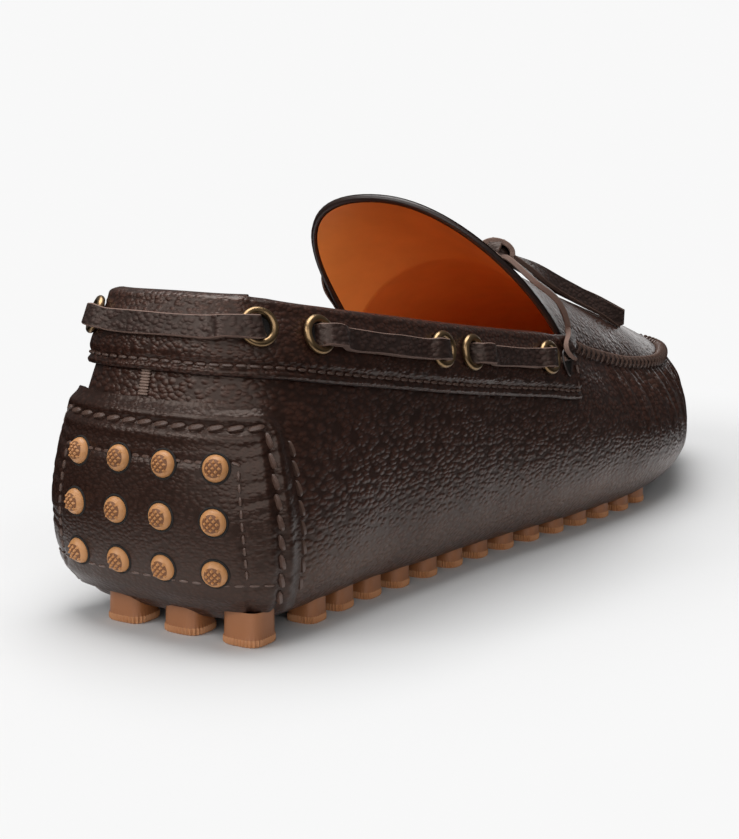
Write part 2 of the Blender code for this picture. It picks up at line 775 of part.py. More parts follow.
def over_apron(route, side):
    """Points over the apron from rows of (row, across, lift), and the direction out of it."""
    points, normals = [], []
    for row, across, lift in route:
        here = apron_point(row, side * across, 0.0)
        ahead = apron_point(row + 0.05, side * across, 0.0) - here
        beside = apron_point(row, side * across + 0.02, 0.0) - here
        normal = np.cross(beside, ahead)
        normal /= np.linalg.norm(normal)
        points.append(here + normal * lift)
        normals.append(normal)
    return points, normals


# How a strip leaves the tie hole: height over the upper's face, and distance up from the hole's middle
LEAVE_TIE_HOLE = ((0.0014, 0.0), (0.0046, 0.0006), (0.0064, 0.0026))

# Routes over the apron, chosen by hand: row of the last, share across, lift of the strip's middle
TIE_ROUTE = (
    (8.62, 0.950, 0.0054), (8.66, 0.89, 0.0042), (8.74, 0.79, 0.0024), (8.84, 0.64, 0.0016),
    (8.96, 0.44, 0.0016),
)
TIE_ENDS = {1: ((9.04, 0.27, 0.0024),), -1: ((9.02, 0.25, 0.0018), (9.08, 0.03, 0.0028))}
NEAR_END_ROUTE = (
    (9.30, 0.22, 0.0042), (9.60, 0.28, 0.0046), (9.95, 0.38, 0.0036), (10.30, 0.50, 0.0022),
    (10.60, 0.62, 0.0014), (10.85, 0.73, 0.0014),
)
FAR_END_ROUTE = (
    (9.34, 0.06, 0.0040), (9.70, 0.12, 0.0042), (10.10, 0.24, 0.0032), (10.50, 0.38, 0.0020),
    (10.90, 0.54, 0.0013), (11.25, 0.68, 0.0014),
)
KNOT_PLACE = (9.14, 0.12, 0.0042)
KNOT_SIZE = (0.0060, 0.0050, 0.0036)


def build_lace(finish):
    """The strip where it shows, in a piece for each run, and the knot with its two ends."""
    first = EYELET_PLACES[0]
    build_run("lace_heel_run", -first, first, finish)
    for side, word in ((1, "outer"), (-1, "inner")):
        for number, (a, b) in enumerate(((1, 2), (3, 4)), 1):
            ends = sorted((side * EYELET_PLACES[a], side * EYELET_PLACES[b]))
            build_run(f"lace_{word}_run_{number}", *ends, finish)
        centre, (along, up, outward) = eyelet_frame(side * TIE_HOLE_PLACE)
        start = [centre + outward * high + up * rise for high, rise in LEAVE_TIE_HOLE]
        points, normals = over_apron(TIE_ROUTE + TIE_ENDS[side], side)
        ribbon(f"lace_{word}_tie", start + points, [up, up + outward, outward] + normals, finish)
    for name, route in (("lace_end_near", NEAR_END_ROUTE), ("lace_end_far", FAR_END_ROUTE)):
        points, normals = over_apron(route, 1)
        ribbon(name, points, normals, finish)
    (centre,), (up,) = over_apron([KNOT_PLACE], 1)
    side = np.cross((0, 1.0, 0), up)
    side /= np.linalg.norm(side)
    forward = np.cross(up, side)
    rings = []
    for tilt in (-60, -20, 20, 60):
        low, high = math.cos(math.radians(tilt)), math.sin(math.radians(tilt))
        ring = []
        for k in range(8):
            a = 2 * math.pi * k / 8
            offset = side * KNOT_SIZE[0] * math.cos(a) + forward * KNOT_SIZE[1] * math.sin(a)
            ring.append(centre + offset * low + up * KNOT_SIZE[2] * high)
        rings.append(ring + ring[:1])
    make_object("lace_knot", [rings[0][:-1], rings[-1][:-1]] + sheet(rings), finish)


LOOSE_LACE = ("lace_knot", "lace_end_near", "lace_end_far")


def centre_on_floor():
    """Moves the whole shoe so that the middle of its footprint is the origin."""
    bpy.context.view_layer.update()
    graph = bpy.context.evaluated_depsgraph_get()
    corners = []
    for thing in bpy.data.objects:
        if not thing.hide_render and thing.name not in LOOSE_LACE:
            corners += [tuple(corner) for corner in thing.evaluated_get(graph).bound_box]
    middle = (np.min(corners, axis=0) + np.max(corners, axis=0)) / 2
    for thing in bpy.data.objects:
        thing.location = (-middle[0], -middle[1], 0.0)


def main():
    start_empty()
    finishes = {
        "leather": material("brown_leather", (0.030, 0.016, 0.012), 0.45),
        "rubber": material("caramel_rubber", (0.42, 0.17, 0.06), 0.6),
        "lining": material("caramel_lining", (0.45, 0.15, 0.03), 0.5),
        "brass": material("old_brass", (0.35, 0.22, 0.09), 0.35, 1.0),
        "lace": material("brown_lace", (0.035, 0.018, 0.014), 0.5),
    }
    build_foot(finishes)
    build_tongue_apron(finishes["leather"])
    build_heel_patch(finishes["leather"], finishes["rubber"])
    build_band(finishes["leather"], finishes["brass"])
    build_lace(finishes["lace"])
    centre_on_floor()


main()
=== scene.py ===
import functools
import math
import random

import bmesh
import bpy
import numpy as np
from mathutils import Euler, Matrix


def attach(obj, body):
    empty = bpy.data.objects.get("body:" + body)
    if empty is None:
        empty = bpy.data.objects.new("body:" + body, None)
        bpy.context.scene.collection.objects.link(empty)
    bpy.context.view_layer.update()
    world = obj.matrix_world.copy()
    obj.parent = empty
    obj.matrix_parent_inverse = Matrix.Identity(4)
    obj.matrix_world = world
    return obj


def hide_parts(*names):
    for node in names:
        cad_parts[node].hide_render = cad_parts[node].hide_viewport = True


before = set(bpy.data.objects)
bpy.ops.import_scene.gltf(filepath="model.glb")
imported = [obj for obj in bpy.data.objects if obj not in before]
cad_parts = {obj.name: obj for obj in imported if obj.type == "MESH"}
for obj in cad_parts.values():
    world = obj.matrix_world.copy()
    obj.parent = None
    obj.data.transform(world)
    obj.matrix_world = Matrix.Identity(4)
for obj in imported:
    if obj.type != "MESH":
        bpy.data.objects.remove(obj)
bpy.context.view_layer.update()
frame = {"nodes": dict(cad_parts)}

# Camera
# The photo's view: from behind and to the right of the right shoe, a little above it, with the shoe alone
# filling the frame.
CAMERA_PLACE = (0.20898, -0.41075, 0.10625)
CAMERA_YAW = 34.6
CAMERA_PITCH = 7.7
CAMERA_ZOOM = 1.38
PHOTO_LENS = 50.89
PHOTO_SHIFT = (0.123, -0.051)

camera = bpy.data.objects.new("camera", bpy.data.cameras.new("camera"))
bpy.context.collection.objects.link(camera)
camera.location = CAMERA_PLACE
camera.rotation_euler = Euler((math.radians(90 - CAMERA_PITCH), 0, math.radians(CAMERA_YAW)))
camera.data.sensor_width = 36
camera.data.sensor_fit = "AUTO"
camera.data.lens = PHOTO_LENS * CAMERA_ZOOM
camera.data.shift_x = PHOTO_SHIFT[0] * CAMERA_ZOOM
camera.data.shift_y = PHOTO_SHIFT[1] * CAMERA_ZOOM
camera.data.clip_start = 0.01
bpy.context.scene.camera = camera


# The last
# The wooden form that the shoe is drawn from: its widest line in plan, and the wall's curve in at the top and
# under the foot. Every piece follows it, as they all do in the CAD. Lengths are in metres from the back of
# the heel.
LENGTH, HEEL_WIDTH, BALL_WIDTH = 0.2845, 0.0655, 0.0955
HEEL_HEIGHT, TOE_HEIGHT, WIDEST_HEIGHT = 0.0738, 0.0385, 0.028
INSTEP_RISE, TOP_INSET, FLOOR_INSET = 0.0255, 0.0125, 0.015
TOE_SPRING, TOE_SPRING_START = 0.009, 0.172
WALL, GAP, SEAM_RISE, PEG_REACH = 0.0018, 0.0003, 0.0026, 0.0036
FLOOR_SAG, SAG_START, SAG_RUN = 0.0013, 0.05, 0.09
BAND_THICKNESS = 0.0014
THROAT_ROW, COLLAR_BLEND, SECTION_POWER = 8.5, 0.5, 2.2
CENTRING = np.array((0.000764, -0.139840, 0.0))
# A row for each section, from the heel to the toe; all but lean are shares of the sizes above
COLUMNS = (
    "outer_along", "outer_across", "inner_along", "inner_across",
    "top", "top_inset", "widest", "floor_outer", "floor_inner", "lean", "crown",
)
SECTIONS = (
    (0.0000, 0.000, 0.0000, 0.000, 1.000, 0.72, 1.00, 0.73, 0.73, 1.5, 1.00),
    (0.0024, 0.206, 0.0024, -0.210, 0.995, 0.77, 1.00, 0.73, 0.73, 1.5, 1.00),
    (0.0174, 0.378, 0.0160, -0.390, 0.984, 0.96, 1.00, 0.73, 0.73, 1.5, 1.00),
    (0.0540, 0.466, 0.0510, -0.476, 0.958, 0.90, 0.96, 0.80, 0.80, 1.5, 1.00),
    (0.1115, 0.500, 0.1115, -0.502, 0.886, 0.69, 0.93, 0.92, 0.98, 1.5, 1.00),
    (0.1810, 0.518, 0.1810, -0.500, 0.798, 0.48, 0.93, 0.98, 1.20, 1.5, 1.00),
    (0.2650, 0.383, 0.2650, -0.358, 0.690, 0.39, 0.93, 1.00, 1.45, 1.5, 1.00),
    (0.3550, 0.409, 0.3550, -0.380, 0.585, 0.38, 0.93, 1.02, 1.50, 1.5, 1.00),
    (0.4460, 0.448, 0.4460, -0.418, 0.475, 0.44, 0.90, 1.02, 1.35, 1.6, 1.00),
    (0.5370, 0.476, 0.5370, -0.460, 0.275, 0.62, 0.84, 0.95, 1.10, 1.8, 0.96),
    (0.6340, 0.492, 0.6270, -0.494, 0.125, 0.72, 0.75, 0.87, 0.90, 2.0, 0.86),
    (0.7390, 0.466, 0.7210, -0.508, 0.045, 0.68, 0.60, 0.85, 0.85, 2.1, 0.70),
    (0.8360, 0.376, 0.8220, -0.462, 0.015, 0.58, 0.44, 0.85, 0.85, 2.2, 0.50),
    (0.9190, 0.268, 0.9230, -0.352, 0.003, 0.56, 0.38, 0.87, 0.87, 2.2, 0.28),
    (0.9790, 0.118, 0.9790, -0.210, 0.000, 0.56, 0.36, 0.87, 0.87, 2.2, 0.10),
    (1.0000, -0.045, 1.0000, -0.045, 0.000, 0.58, 0.36, 0.87, 0.87, 2.2, 0.00),
)
HEEL_ROWS = 6
LAST_ROW = len(SECTIONS) - 1


def smooth_value(values, t, closed):
    """A smooth curve through the values, read at t; a closed one runs round."""
    values = np.asarray(values, float)
    count = len(values)
    i = int(math.floor(t))
    f = t - i
    if closed:
        a, b, c, d = (values[(i + k) % count] for k in (-1, 0, 1, 2))
    else:
        i = min(max(i, 0), count - 2)
        f = t - i
        mirrored = [abs(i - 1), i, i + 1, i + 2]
        if mirrored[3] > count - 1:
            mirrored[3] = 2 * (count - 1) - mirrored[3]
        a, b, c, d = (values[k] for k in mirrored)
    return 0.5 * (2 * b + (c - a) * f + (2 * a - 5 * b + 4 * c - d) * f**2 + (3 * b - a - 3 * c + d) * f**3)


def unit(vector):
    return vector / np.linalg.norm(vector)


def lengths_along(points):
    """Distance walked to each point of a line, from its first."""
    steps = np.linalg.norm(np.diff(points, axis=0), axis=1)
    return np.concatenate([[0.0], np.cumsum(steps)])


TABLE = {name: np.array([row[k] for row in SECTIONS]) for k, name in enumerate(COLUMNS)}


def widest_line():
    width = np.where(np.arange(LAST_ROW + 1) < HEEL_ROWS, HEEL_WIDTH, BALL_WIDTH)
    outer = np.stack([TABLE["outer_across"] * width, TABLE["outer_along"] * LENGTH], 1)
    inner = np.stack([TABLE["inner_across"] * width, TABLE["inner_along"] * LENGTH], 1)
    return np.concatenate([outer, inner[LAST_ROW - 1 : 0 : -1]])


OUTLINE = widest_line()
LOOP = len(OUTLINE)


@functools.lru_cache(None)
def outline_at(loop_t):
    """The widest line's point at a place round the loop, and the direction out of the shoe there."""
    step = 0.01
    here = smooth_value(OUTLINE, loop_t, True)
    run = unit(smooth_value(OUTLINE, loop_t + step, True) - smooth_value(OUTLINE, loop_t - step, True))
    return here, np.array((run[1], -run[0]))


def toe_lift(y):
    return TOE_SPRING * (max(0.0, y - TOE_SPRING_START) / (LENGTH - TOE_SPRING_START)) ** 2


@functools.lru_cache(None)
def section_at(loop_t):
    around = loop_t % LOOP
    row, side = (around, "outer") if around <= LAST_ROW else (LOOP - around, "inner")
    read = {name: float(smooth_value(values, row, False)) for name, values in TABLE.items()}
    y = outline_at(loop_t)[0][1]
    lift = toe_lift(y)
    top = TOE_HEIGHT + (HEEL_HEIGHT - TOE_HEIGHT) * read["top"]
    collar = min(1.0, max(0.0, (THROAT_ROW - row) / COLLAR_BLEND))
    sag = FLOOR_SAG * min(1.0, max(0.0, (y - SAG_START) / SAG_RUN))
    return {
        "floor": PEG_REACH + lift - sag,
        "widest": WIDEST_HEIGHT * read["widest"] + lift,
        "top": top - (BAND_THICKNESS + GAP) * collar,
        "rise": SEAM_RISE + (BAND_THICKNESS - SEAM_RISE) * collar,
        "top_inset": TOP_INSET * read["top_inset"],
        "floor_inset": FLOOR_INSET * read["floor_" + side],
        "lean": read["lean"],
        "crown": INSTEP_RISE * read["crown"],
    }


def profile(section, level):
    """Distance out of the widest line, and height, at a level: 0 floor, 1 widest, 2 seam's foot, 3 top."""
    if level <= 1.0:
        angle = max(level, 0.0) * math.pi / 2
        out = -section["floor_inset"] * (1 - math.sin(angle) ** (2 / SECTION_POWER))
        up = (section["widest"] - section["floor"]) * (1 - math.cos(angle) ** (2 / SECTION_POWER))
        return out, section["floor"] + up
    seam_foot = section["top"] - section["rise"]
    if level <= 2.0:
        part = level - 1.0
        out = -section["top_inset"] * part ** section["lean"]
        return out, section["widest"] + (seam_foot - section["widest"]) * part
    return -section["top_inset"], seam_foot + section["rise"] * (level - 2.0)


def profile_normal(section, level):
    if level <= 0.0:
        return 0.0, -1.0
    if level >= 2.0:
        return 1.0, 0.0
    low = profile(section, max(level - 0.004, 0.0))
    high = profile(section, min(level + 0.004, 2.0))
    out, up = high[0] - low[0], high[1] - low[1]
    size = math.hypot(out, up)
    return up / size, -out / size


def skin(loop_t, level, offset=0.0):
    """A point on the upper's outer face, moved out of the leather by offset."""
    section = section_at(loop_t)
    here, outward = outline_at(loop_t)
    out, height = profile(section, level)
    normal_out, normal_up = profile_normal(section, level)
    flat = here + outward * (out + offset * normal_out)
    return np.array((flat[0], flat[1], height + offset * normal_up))


def skin_direction(loop_t, level):
    return (skin(loop_t, level, 0.001) - skin(loop_t, level)) / 0.001


def level_at_height(loop_t, height):
    section = section_at(loop_t)
    low, high = 0.0, 3.0
    for _ in range(30):
        middle = (low + high) / 2
        low, high = (middle, high) if profile(section, middle)[1] < height else (low, middle)
    return (low + high) / 2


def walked_round(level):
    rows = np.linspace(0, LAST_ROW, 400)
    return rows, [lengths_along([skin(sign * row, level) for row in rows]) for sign in (1, -1)]


WALKS = {level: walked_round(level) for level in (1.0, 2.0, 3.0)}


def place_along(distance, level):
    """Loop place at a distance round from the middle of the heel; a negative one is on the inner side."""
    rows, (outer, inner) = WALKS[level]
    if distance >= 0:
        return float(np.interp(distance, outer, rows))
    return -float(np.interp(-distance, inner, rows))


def bell(x, width):
    return math.exp(-((x / width) ** 2))


def eased(x):
    x = min(1.0, max(0.0, x))
    return x * x * (3 - 2 * x)


# Making meshes
# Each piece is gathered as grids and tubes of points in the last's frame, then moved to the row frame. Its
# points may carry a mark, which the upper's finish reads as a lighter patch: partly wear, partly a painted
# highlight.
def circle(centre, side, up, radius, count):
    turns = [2 * math.pi * k / count for k in range(count)]
    return [centre + (side * math.cos(a) + up * math.sin(a)) * radius for a in turns]


class Shape:
    def __init__(self):
        self.points, self.faces, self.slots, self.marks = [], [], [], []

    def grid(self, grid, slot=0, wrap_rows=False, wrap_columns=False, marks=None):
        """Quads between rows of points. marks is one number per point, kept as the mesh's mark."""
        grid = np.asarray(grid, float)
        rows, columns = grid.shape[:2]
        start = len(self.points)
        self.points += [tuple(point) for point in grid.reshape(-1, 3)]
        if marks is None:
            marks = np.zeros((rows, columns))
        self.marks += list(np.asarray(marks, float).reshape(-1))
        for i in range(rows if wrap_rows else rows - 1):
            for j in range(columns if wrap_columns else columns - 1):
                a, b = start + i * columns, start + ((i + 1) % rows) * columns
                k = (j + 1) % columns
                self.faces.append((a + j, a + k, b + k, b + j))
                self.slots.append(slot)

    def polygon(self, points, slot=0):
        start = len(self.points)
        self.points += [tuple(point) for point in points]
        self.marks += [0.0] * len(points)
        self.faces.append(tuple(range(start, start + len(points))))
        self.slots.append(slot)

    def caps(self, rings, slot=0):
        self.polygon(rings[0], slot)
        self.polygon(rings[-1], slot)

    def tube(self, line, radius, sides=8, slot=0, closed=False, up=(0.0, 0.0, 1.0)):
        """A round tube along a line; radius may be one number or one per point."""
        line = np.asarray(line, float)
        runs = np.roll(line, -1, 0) - np.roll(line, 1, 0) if closed else np.gradient(line, axis=0)
        rings = []
        for point, run, size in zip(line, runs, np.broadcast_to(radius, len(line))):
            side = np.cross(run, up)
            if np.linalg.norm(side) < 1e-9:
                side = np.cross(run, (1.0, 0.3, 0.1))
            side = unit(side)
            rings.append(circle(point, side, unit(np.cross(side, run)), size, sides))
        self.grid(rings, slot, wrap_rows=closed, wrap_columns=True)
        if not closed:
            self.caps(rings, slot)

    def stitch(self, centre, along, up, length, width, height, slot=0):
        """One stitch: a short rounded bar that stands out of the leather by height."""
        along = unit(along)
        side = unit(np.cross(along, up))
        rings = []
        for part in (-1.0, -0.82, -0.4, 0.4, 0.82, 1.0):
            swell = math.sqrt(1 - part**4) if abs(part) < 1 else 0.25
            middle = centre + along * part * length / 2
            rings.append(circle(middle, side * width / 2, up * height, swell, 6))
        self.grid(rings, slot, wrap_columns=True)
        self.caps(rings, slot)

    def build(self, name, finishes, replaces=(), record_slot=None):
        mesh = bpy.data.meshes.new(name)
        mesh.from_pydata([tuple(np.array(point) + CENTRING) for point in self.points], [], self.faces)
        mesh.polygons.foreach_set("material_index", self.slots)
        mark = mesh.attributes.new("mark", "FLOAT", "POINT")
        mark.data.foreach_set("value", self.marks)
        work = bmesh.new()
        work.from_mesh(mesh)
        bmesh.ops.remove_doubles(work, verts=work.verts, dist=1e-6)
        bmesh.ops.recalc_face_normals(work, faces=work.faces)
        work.to_mesh(mesh)
        work.free()
        mesh.shade_smooth()
        mesh.set_sharp_from_angle(angle=math.radians(40))
        for finish in finishes:
            mesh.materials.append(finish)
        thing = bpy.data.objects.new(name, mesh)
        bpy.context.collection.objects.link(thing)
        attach(thing, "root")
        if replaces:
            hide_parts(*replaces)
        return thing


def point_along(line, walked, s):
    return np.array([np.interp(s, walked, line[:, axis]) for axis in range(3)])


def stitched_line(shape, line, ups, pitch, length, width, height, slot=0, slant=0.0):
    """Stitches at even steps along a line of points with directions out of the leather."""
    line, ups = np.asarray(line, float), np.asarray(ups, float)
    walked = lengths_along(line)
    step = 0.0006
    count = int(walked[-1] / pitch)
    for k in range(count):
        s = (k + 0.5) * walked[-1] / count
        up = unit(point_along(ups, walked, s))
        along = unit(point_along(line, walked, s + step) - point_along(line, walked, s - step))
        along = along + np.cross(up, along) * slant
        shape.stitch(point_along(line, walked, s), along, up, length, width, height, slot)


# Finishes
# Leather is drum-dyed, pebbled and lightly waxed. The plain finish serves for thread, smooth calf, moulded
# rubber and brass. Each piece gives its own colours.
def new_material(name):
    made = bpy.data.materials.new(name)
    made.use_nodes = True
    nodes = made.node_tree.nodes
    return made, nodes, made.node_tree.links.new, nodes["Principled BSDF"]


def add_node(nodes, kind, values=()):
    """A shader node of a kind, with values on its input sockets."""
    made = nodes.new("ShaderNode" + kind)
    for socket, value in dict(values).items():
        made.inputs[socket].default_value = value
    return made


def add_math(nodes, operation, values=()):
    made = add_node(nodes, "Math", values)
    made.operation = operation
    return made


def add_mix(nodes, low, high):
    made = add_node(nodes, "Mix", {6: (*low, 1), 7: (*high, 1)})
    made.data_type = "RGBA"
    return made


def grain_group():
    """Shader group: a pebbled height and a patch mask, from object coordinates."""
    group = bpy.data.node_groups.new("leather grain", "ShaderNodeTree")
    for name, way in (("Cell size", "INPUT"), ("Height", "OUTPUT"), ("Patches", "OUTPUT")):
        group.interface.new_socket(name, in_out=way, socket_type="NodeSocketFloat")
    nodes, link = group.nodes, group.links.new
    inside, outside = nodes.new("NodeGroupInput"), nodes.new("NodeGroupOutput")
    place = add_node(nodes, "TexCoord")
    bend = add_node(nodes, "TexNoise", {"Scale": 260, "Detail": 2})
    shift = add_node(nodes, "Mix", {"Factor": 0.0009})
    shift.data_type = "VECTOR"
    stretch = add_node(nodes, "Mapping", {"Scale": (0.8, 0.7, 1.2)})
    cells = add_node(nodes, "TexVoronoi", {"Randomness": 1.0})
    cells.feature = "F1"
    turn = add_math(nodes, "DIVIDE", {0: 1.0})
    fine = add_node(nodes, "TexNoise", {"Scale": 2600, "Detail": 3})
    ramp = add_node(nodes, "MapRange", {"From Min": 0.12, "From Max": 0.78, "To Min": 1.0, "To Max": 0.0})
    ramp.interpolation_type = "SMOOTHSTEP"
    total = add_math(nodes, "MULTIPLY_ADD", {1: 0.05})
    wide = add_node(nodes, "TexNoise", {"Scale": 55, "Detail": 3})
    for socket in (bend.inputs["Vector"], shift.inputs[4], fine.inputs["Vector"], wide.inputs["Vector"]):
        link(place.outputs["Object"], socket)
    link(bend.outputs["Color"], shift.inputs[5])
    link(shift.outputs[1], stretch.inputs["Vector"])
    link(stretch.outputs["Vector"], cells.inputs["Vector"])
    link(inside.outputs["Cell size"], turn.inputs[1])
    link(turn.outputs[0], cells.inputs["Scale"])
    link(cells.outputs["Distance"], ramp.inputs["Value"])
    link(fine.outputs["Fac"], total.inputs[0])
    link(ramp.outputs["Result"], total.inputs[2])
    link(total.outputs[0], outside.inputs["Height"])
    link(wide.outputs["Fac"], outside.inputs["Patches"])
    return group


GRAIN = grain_group()


def leather(name, low, high, cell, depth, roughness, rub_and_sheen=None):
    """Pebbled leather: low is the colour in the creases, high on the pebbles; where mark is near 1 it turns
    toward a lighter colour, partly wear and partly a painted highlight.
    """
    made, nodes, link, shader = new_material(name)
    grain = add_node(nodes, "Group")
    grain.node_tree = GRAIN
    grain.inputs["Cell size"].default_value = cell
    # The creases' darker colour is partly the grain's own tone and partly painted shade between the pebbles.
    tint = add_mix(nodes, low, high)
    blend = add_math(nodes, "MULTIPLY_ADD", {1: 0.70})
    spread = add_math(nodes, "MULTIPLY", {1: 0.45})
    link(grain.outputs["Height"], blend.inputs[0])
    link(grain.outputs["Patches"], spread.inputs[0])
    link(spread.outputs[0], blend.inputs[2])
    link(blend.outputs[0], tint.inputs[0])
    colour = tint.outputs[2]
    if rub_and_sheen:
        mark = add_node(nodes, "Attribute")
        mark.attribute_name = "mark"
        rub = add_math(nodes, "MULTIPLY")
        over = add_mix(nodes, rub_and_sheen, rub_and_sheen)
        link(mark.outputs["Fac"], rub.inputs[0])
        link(grain.outputs["Patches"], rub.inputs[1])
        link(rub.outputs[0], over.inputs[0])
        link(colour, over.inputs[6])
        colour = over.outputs[2]
    link(colour, shader.inputs["Base Color"])
    rough = add_node(nodes, "MapRange", {
        "From Min": 0.3, "From Max": 0.7, "To Min": roughness + 0.07, "To Max": roughness - 0.05,
    })
    link(grain.outputs["Patches"], rough.inputs["Value"])
    link(rough.outputs["Result"], shader.inputs["Roughness"])
    bump = add_node(nodes, "Bump", {"Strength": 0.9, "Distance": depth})
    link(grain.outputs["Height"], bump.inputs["Height"])
    link(bump.outputs["Normal"], shader.inputs["Normal"])
    shader.inputs["Specular IOR Level"].default_value = 0.45
    shader.inputs["Specular Tint"].default_value = (1.0, 0.82, 0.72, 1)
    made.diffuse_color = (*high, 1)
    return made


def plain(name, colour, roughness, metallic=0.0, grain_size=None, depth=0.0001, mottled=0.25):
    """A smooth finish with faint mottling, and a fine tooth where grain_size is given."""
    made, nodes, link, shader = new_material(name)
    place = add_node(nodes, "TexCoord")
    cloud = add_node(nodes, "TexNoise", {"Scale": 120, "Detail": 4})
    low, high = ([min(1, c * share) for c in colour] for share in (1 - mottled, 1 + mottled))
    tint = add_mix(nodes, low, high)
    link(place.outputs["Object"], cloud.inputs["Vector"])
    link(cloud.outputs["Fac"], tint.inputs[0])
    link(tint.outputs[2], shader.inputs["Base Color"])
    shader.inputs["Roughness"].default_value = roughness
    shader.inputs["Metallic"].default_value = metallic
    if grain_size:
        tooth = add_node(nodes, "TexNoise", {"Scale": 1 / grain_size, "Detail": 3})
        bump = add_node(nodes, "Bump", {"Strength": 0.5, "Distance": depth})
        link(place.outputs["Object"], tooth.inputs["Vector"])
        link(tooth.outputs["Fac"], bump.inputs["Height"])
        link(bump.outputs["Normal"], shader.inputs["Normal"])
    made.diffuse_color = (*colour, 1)
    return made


# Upper
# One piece of leather wrapped under the foot and up the sides, left whole where the pegs stand through it,
# and gathered into small pleats where the hand-sewn seam takes up its fullness round the toe. Smooth caramel
# calf lines it.
# The third colour is a lighter brown laid low on the flank: partly wear, partly a painted highlight.
BROWN_LOW, BROWN_HIGH, BROWN_RUB_AND_SHEEN = (0.0080, 0.0032, 0.0021), (0.050, 0.0195, 0.0128), (0.10, 0.046, 0.020)
UPPER_LEATHER = leather("upper leather", BROWN_LOW, BROWN_HIGH, 0.00130, 0.00019, 0.37, BROWN_RUB_AND_SHEEN)
LINING = plain("caramel lining", (0.82, 0.30, 0.070), 0.42, grain_size=0.0005, depth=0.00005, mottled=0.12)
PLEAT_PITCH, PLEAT_DEPTH, PLEATS_END = 0.0043, 0.0013, 0.150
WRINKLE_DEPTH, WRINKLE_PITCH = 0.00036, 0.00034
# The grained face lies this far inside the solid's
FACE_SET_IN = 0.0001


def seam_distance(t):
    """Distance along the seam from the tip of the toe, negative on the inner side."""
    rows, (outer, inner) = WALKS[2.0]
    if t >= 0:
        return outer[-1] - float(np.interp(t, rows, outer))
    return -(inner[-1] - float(np.interp(-t, rows, inner)))


# Each pleat's share of the depth, reach down from the seam and lean
draw = random.Random(5)
PLEATS = [
    (draw.uniform(0.55, 1.0), draw.uniform(0.006, 0.021), draw.uniform(-0.25, 0.25)) for _ in range(90)
]
# Long soft creases in the flank: distance from the toe along the seam, drop of its top below the seam, length
# down, width and depth
CREASES = (
    (0.018, 0.005, 0.020, 0.0026, 0.0011), (0.030, 0.006, 0.024, 0.0022, 0.0012),
    (0.041, 0.004, 0.026, 0.0021, 0.0012), (0.051, 0.006, 0.024, 0.0024, 0.0011),
    (0.063, 0.005, 0.021, 0.0026, 0.0010), (0.078, 0.006, 0.018, 0.0030, 0.0008),
    (-0.022, 0.005, 0.020, 0.0030, 0.0007), (-0.040, 0.006, 0.022, 0.0030, 0.0007),
    (-0.060, 0.005, 0.018, 0.0034, 0.0006), (0.005, 0.005, 0.018, 0.0030, 0.0006),
)


def fullness(s, drop):
    """How far the leather lies in or out at a distance round from the toe and a drop below the seam."""
    number = s / PLEAT_PITCH
    share, reach, lean = PLEATS[int(math.floor(number)) % len(PLEATS)]
    reach = 0.010 + (reach - 0.006) * eased(1.3 - abs(s) / 0.10)
    phase = number - math.floor(number) + lean * min(drop / 0.02, 1.0) * 0.5
    ridge = abs(math.sin(math.pi * phase)) ** 0.8 - 0.62
    round_toe = eased((PLEATS_END - abs(s)) / 0.03)
    value = PLEAT_DEPTH * share * round_toe * ridge * math.exp(-((drop / reach) ** 1.6))
    bent = s / WRINKLE_PITCH + 1.6 * math.sin(drop / 0.0035 + s / 0.006)
    fine = math.sin(bent) * math.sin(s / 0.0023 + 0.7)
    value += WRINKLE_DEPTH * fine * round_toe * eased(drop / 0.003) * math.exp(-((drop / 0.020) ** 2))
    for place, top, length, width, depth in CREASES:
        along = (drop - top) / length
        if 0 < along < 1:
            off = s - place - 0.18 * (drop - top)
            value -= depth * math.sin(math.pi * along) ** 0.8 * bell(off, width)
    return value


def upper_stations():
    """Places round the upper: coarse from the heel on, fine where the seam gathers the leather."""
    fine, coarse, gathered = 0.00085, 0.0024, 0.135
    sides = []
    for side, total in zip((1, -1), (walk[-1] for walk in WALKS[2.0][1])):
        s, places = coarse, []
        while s < total - fine / 2:
            places.append(place_along(side * s, 2.0))
            s += coarse if s < total - gathered else fine
        sides.append(places)
    return [0.0, *sides[0], float(LAST_ROW), *sides[1][::-1]]


UPPER_STATIONS = upper_stations()
FLOOR_STEPS = np.linspace(0, 1, 15)
WALL_STEPS = np.linspace(1, 2, 44)[1:]
INSIDE_STEPS = (*np.linspace(0, 1, 9), 1.3, 1.6, 1.8, 2.0, 2.5, 2.95)
RIM_STEPS = ((2.35, 0.0), (2.7, 0.0), (2.95, 0.0003), (3.0, 0.0009), (2.95, 0.0015))
upper = Shape()
outer_face, inner_face, rub_and_sheen = [], [], []
for t in UPPER_STATIONS:
    s = seam_distance(t)
    section = section_at(t)
    line, marks = [], []
    for level in [*FLOOR_STEPS, *WALL_STEPS]:
        height = profile(section, level)[1]
        drop = section["top"] - section["rise"] - height
        push = fullness(s, drop) if level > 0.75 else 0.0
        line.append(skin(t, level, push - FACE_SET_IN))
        # A lighter band low on the flank that fades out near the toe: partly a rub mark, partly a painted
        # highlight.
        flank_rub_and_sheen = bell(level - 0.62, 0.20) * eased((LENGTH - outline_at(t)[0][1]) / 0.06)
        marks.append(0.55 * flank_rub_and_sheen)
    for level, inset in RIM_STEPS:
        line.append(skin(t, level, -inset))
        marks.append(0.0)
    outer_face.append(line)
    rub_and_sheen.append(marks)
    inner_face.append([skin(t, level, -WALL) for level in INSIDE_STEPS])
upper.grid(outer_face, 0, wrap_rows=True, marks=rub_and_sheen)
upper.grid(inner_face, 1, wrap_rows=True)
for offset, slot in ((-FACE_SET_IN, 0), (-WALL, 1)):
    floor = []
    for row in np.linspace(0.02, LAST_ROW - 0.02, 120):
        left, right = skin(-row, 0.0, offset), skin(row, 0.0, offset)
        floor.append([left + (right - left) * k / 6 for k in range(7)])
    upper.grid(floor, slot)
upper.build("upper_leather", [UPPER_LEATHER, LINING], ("upper",), "leather")


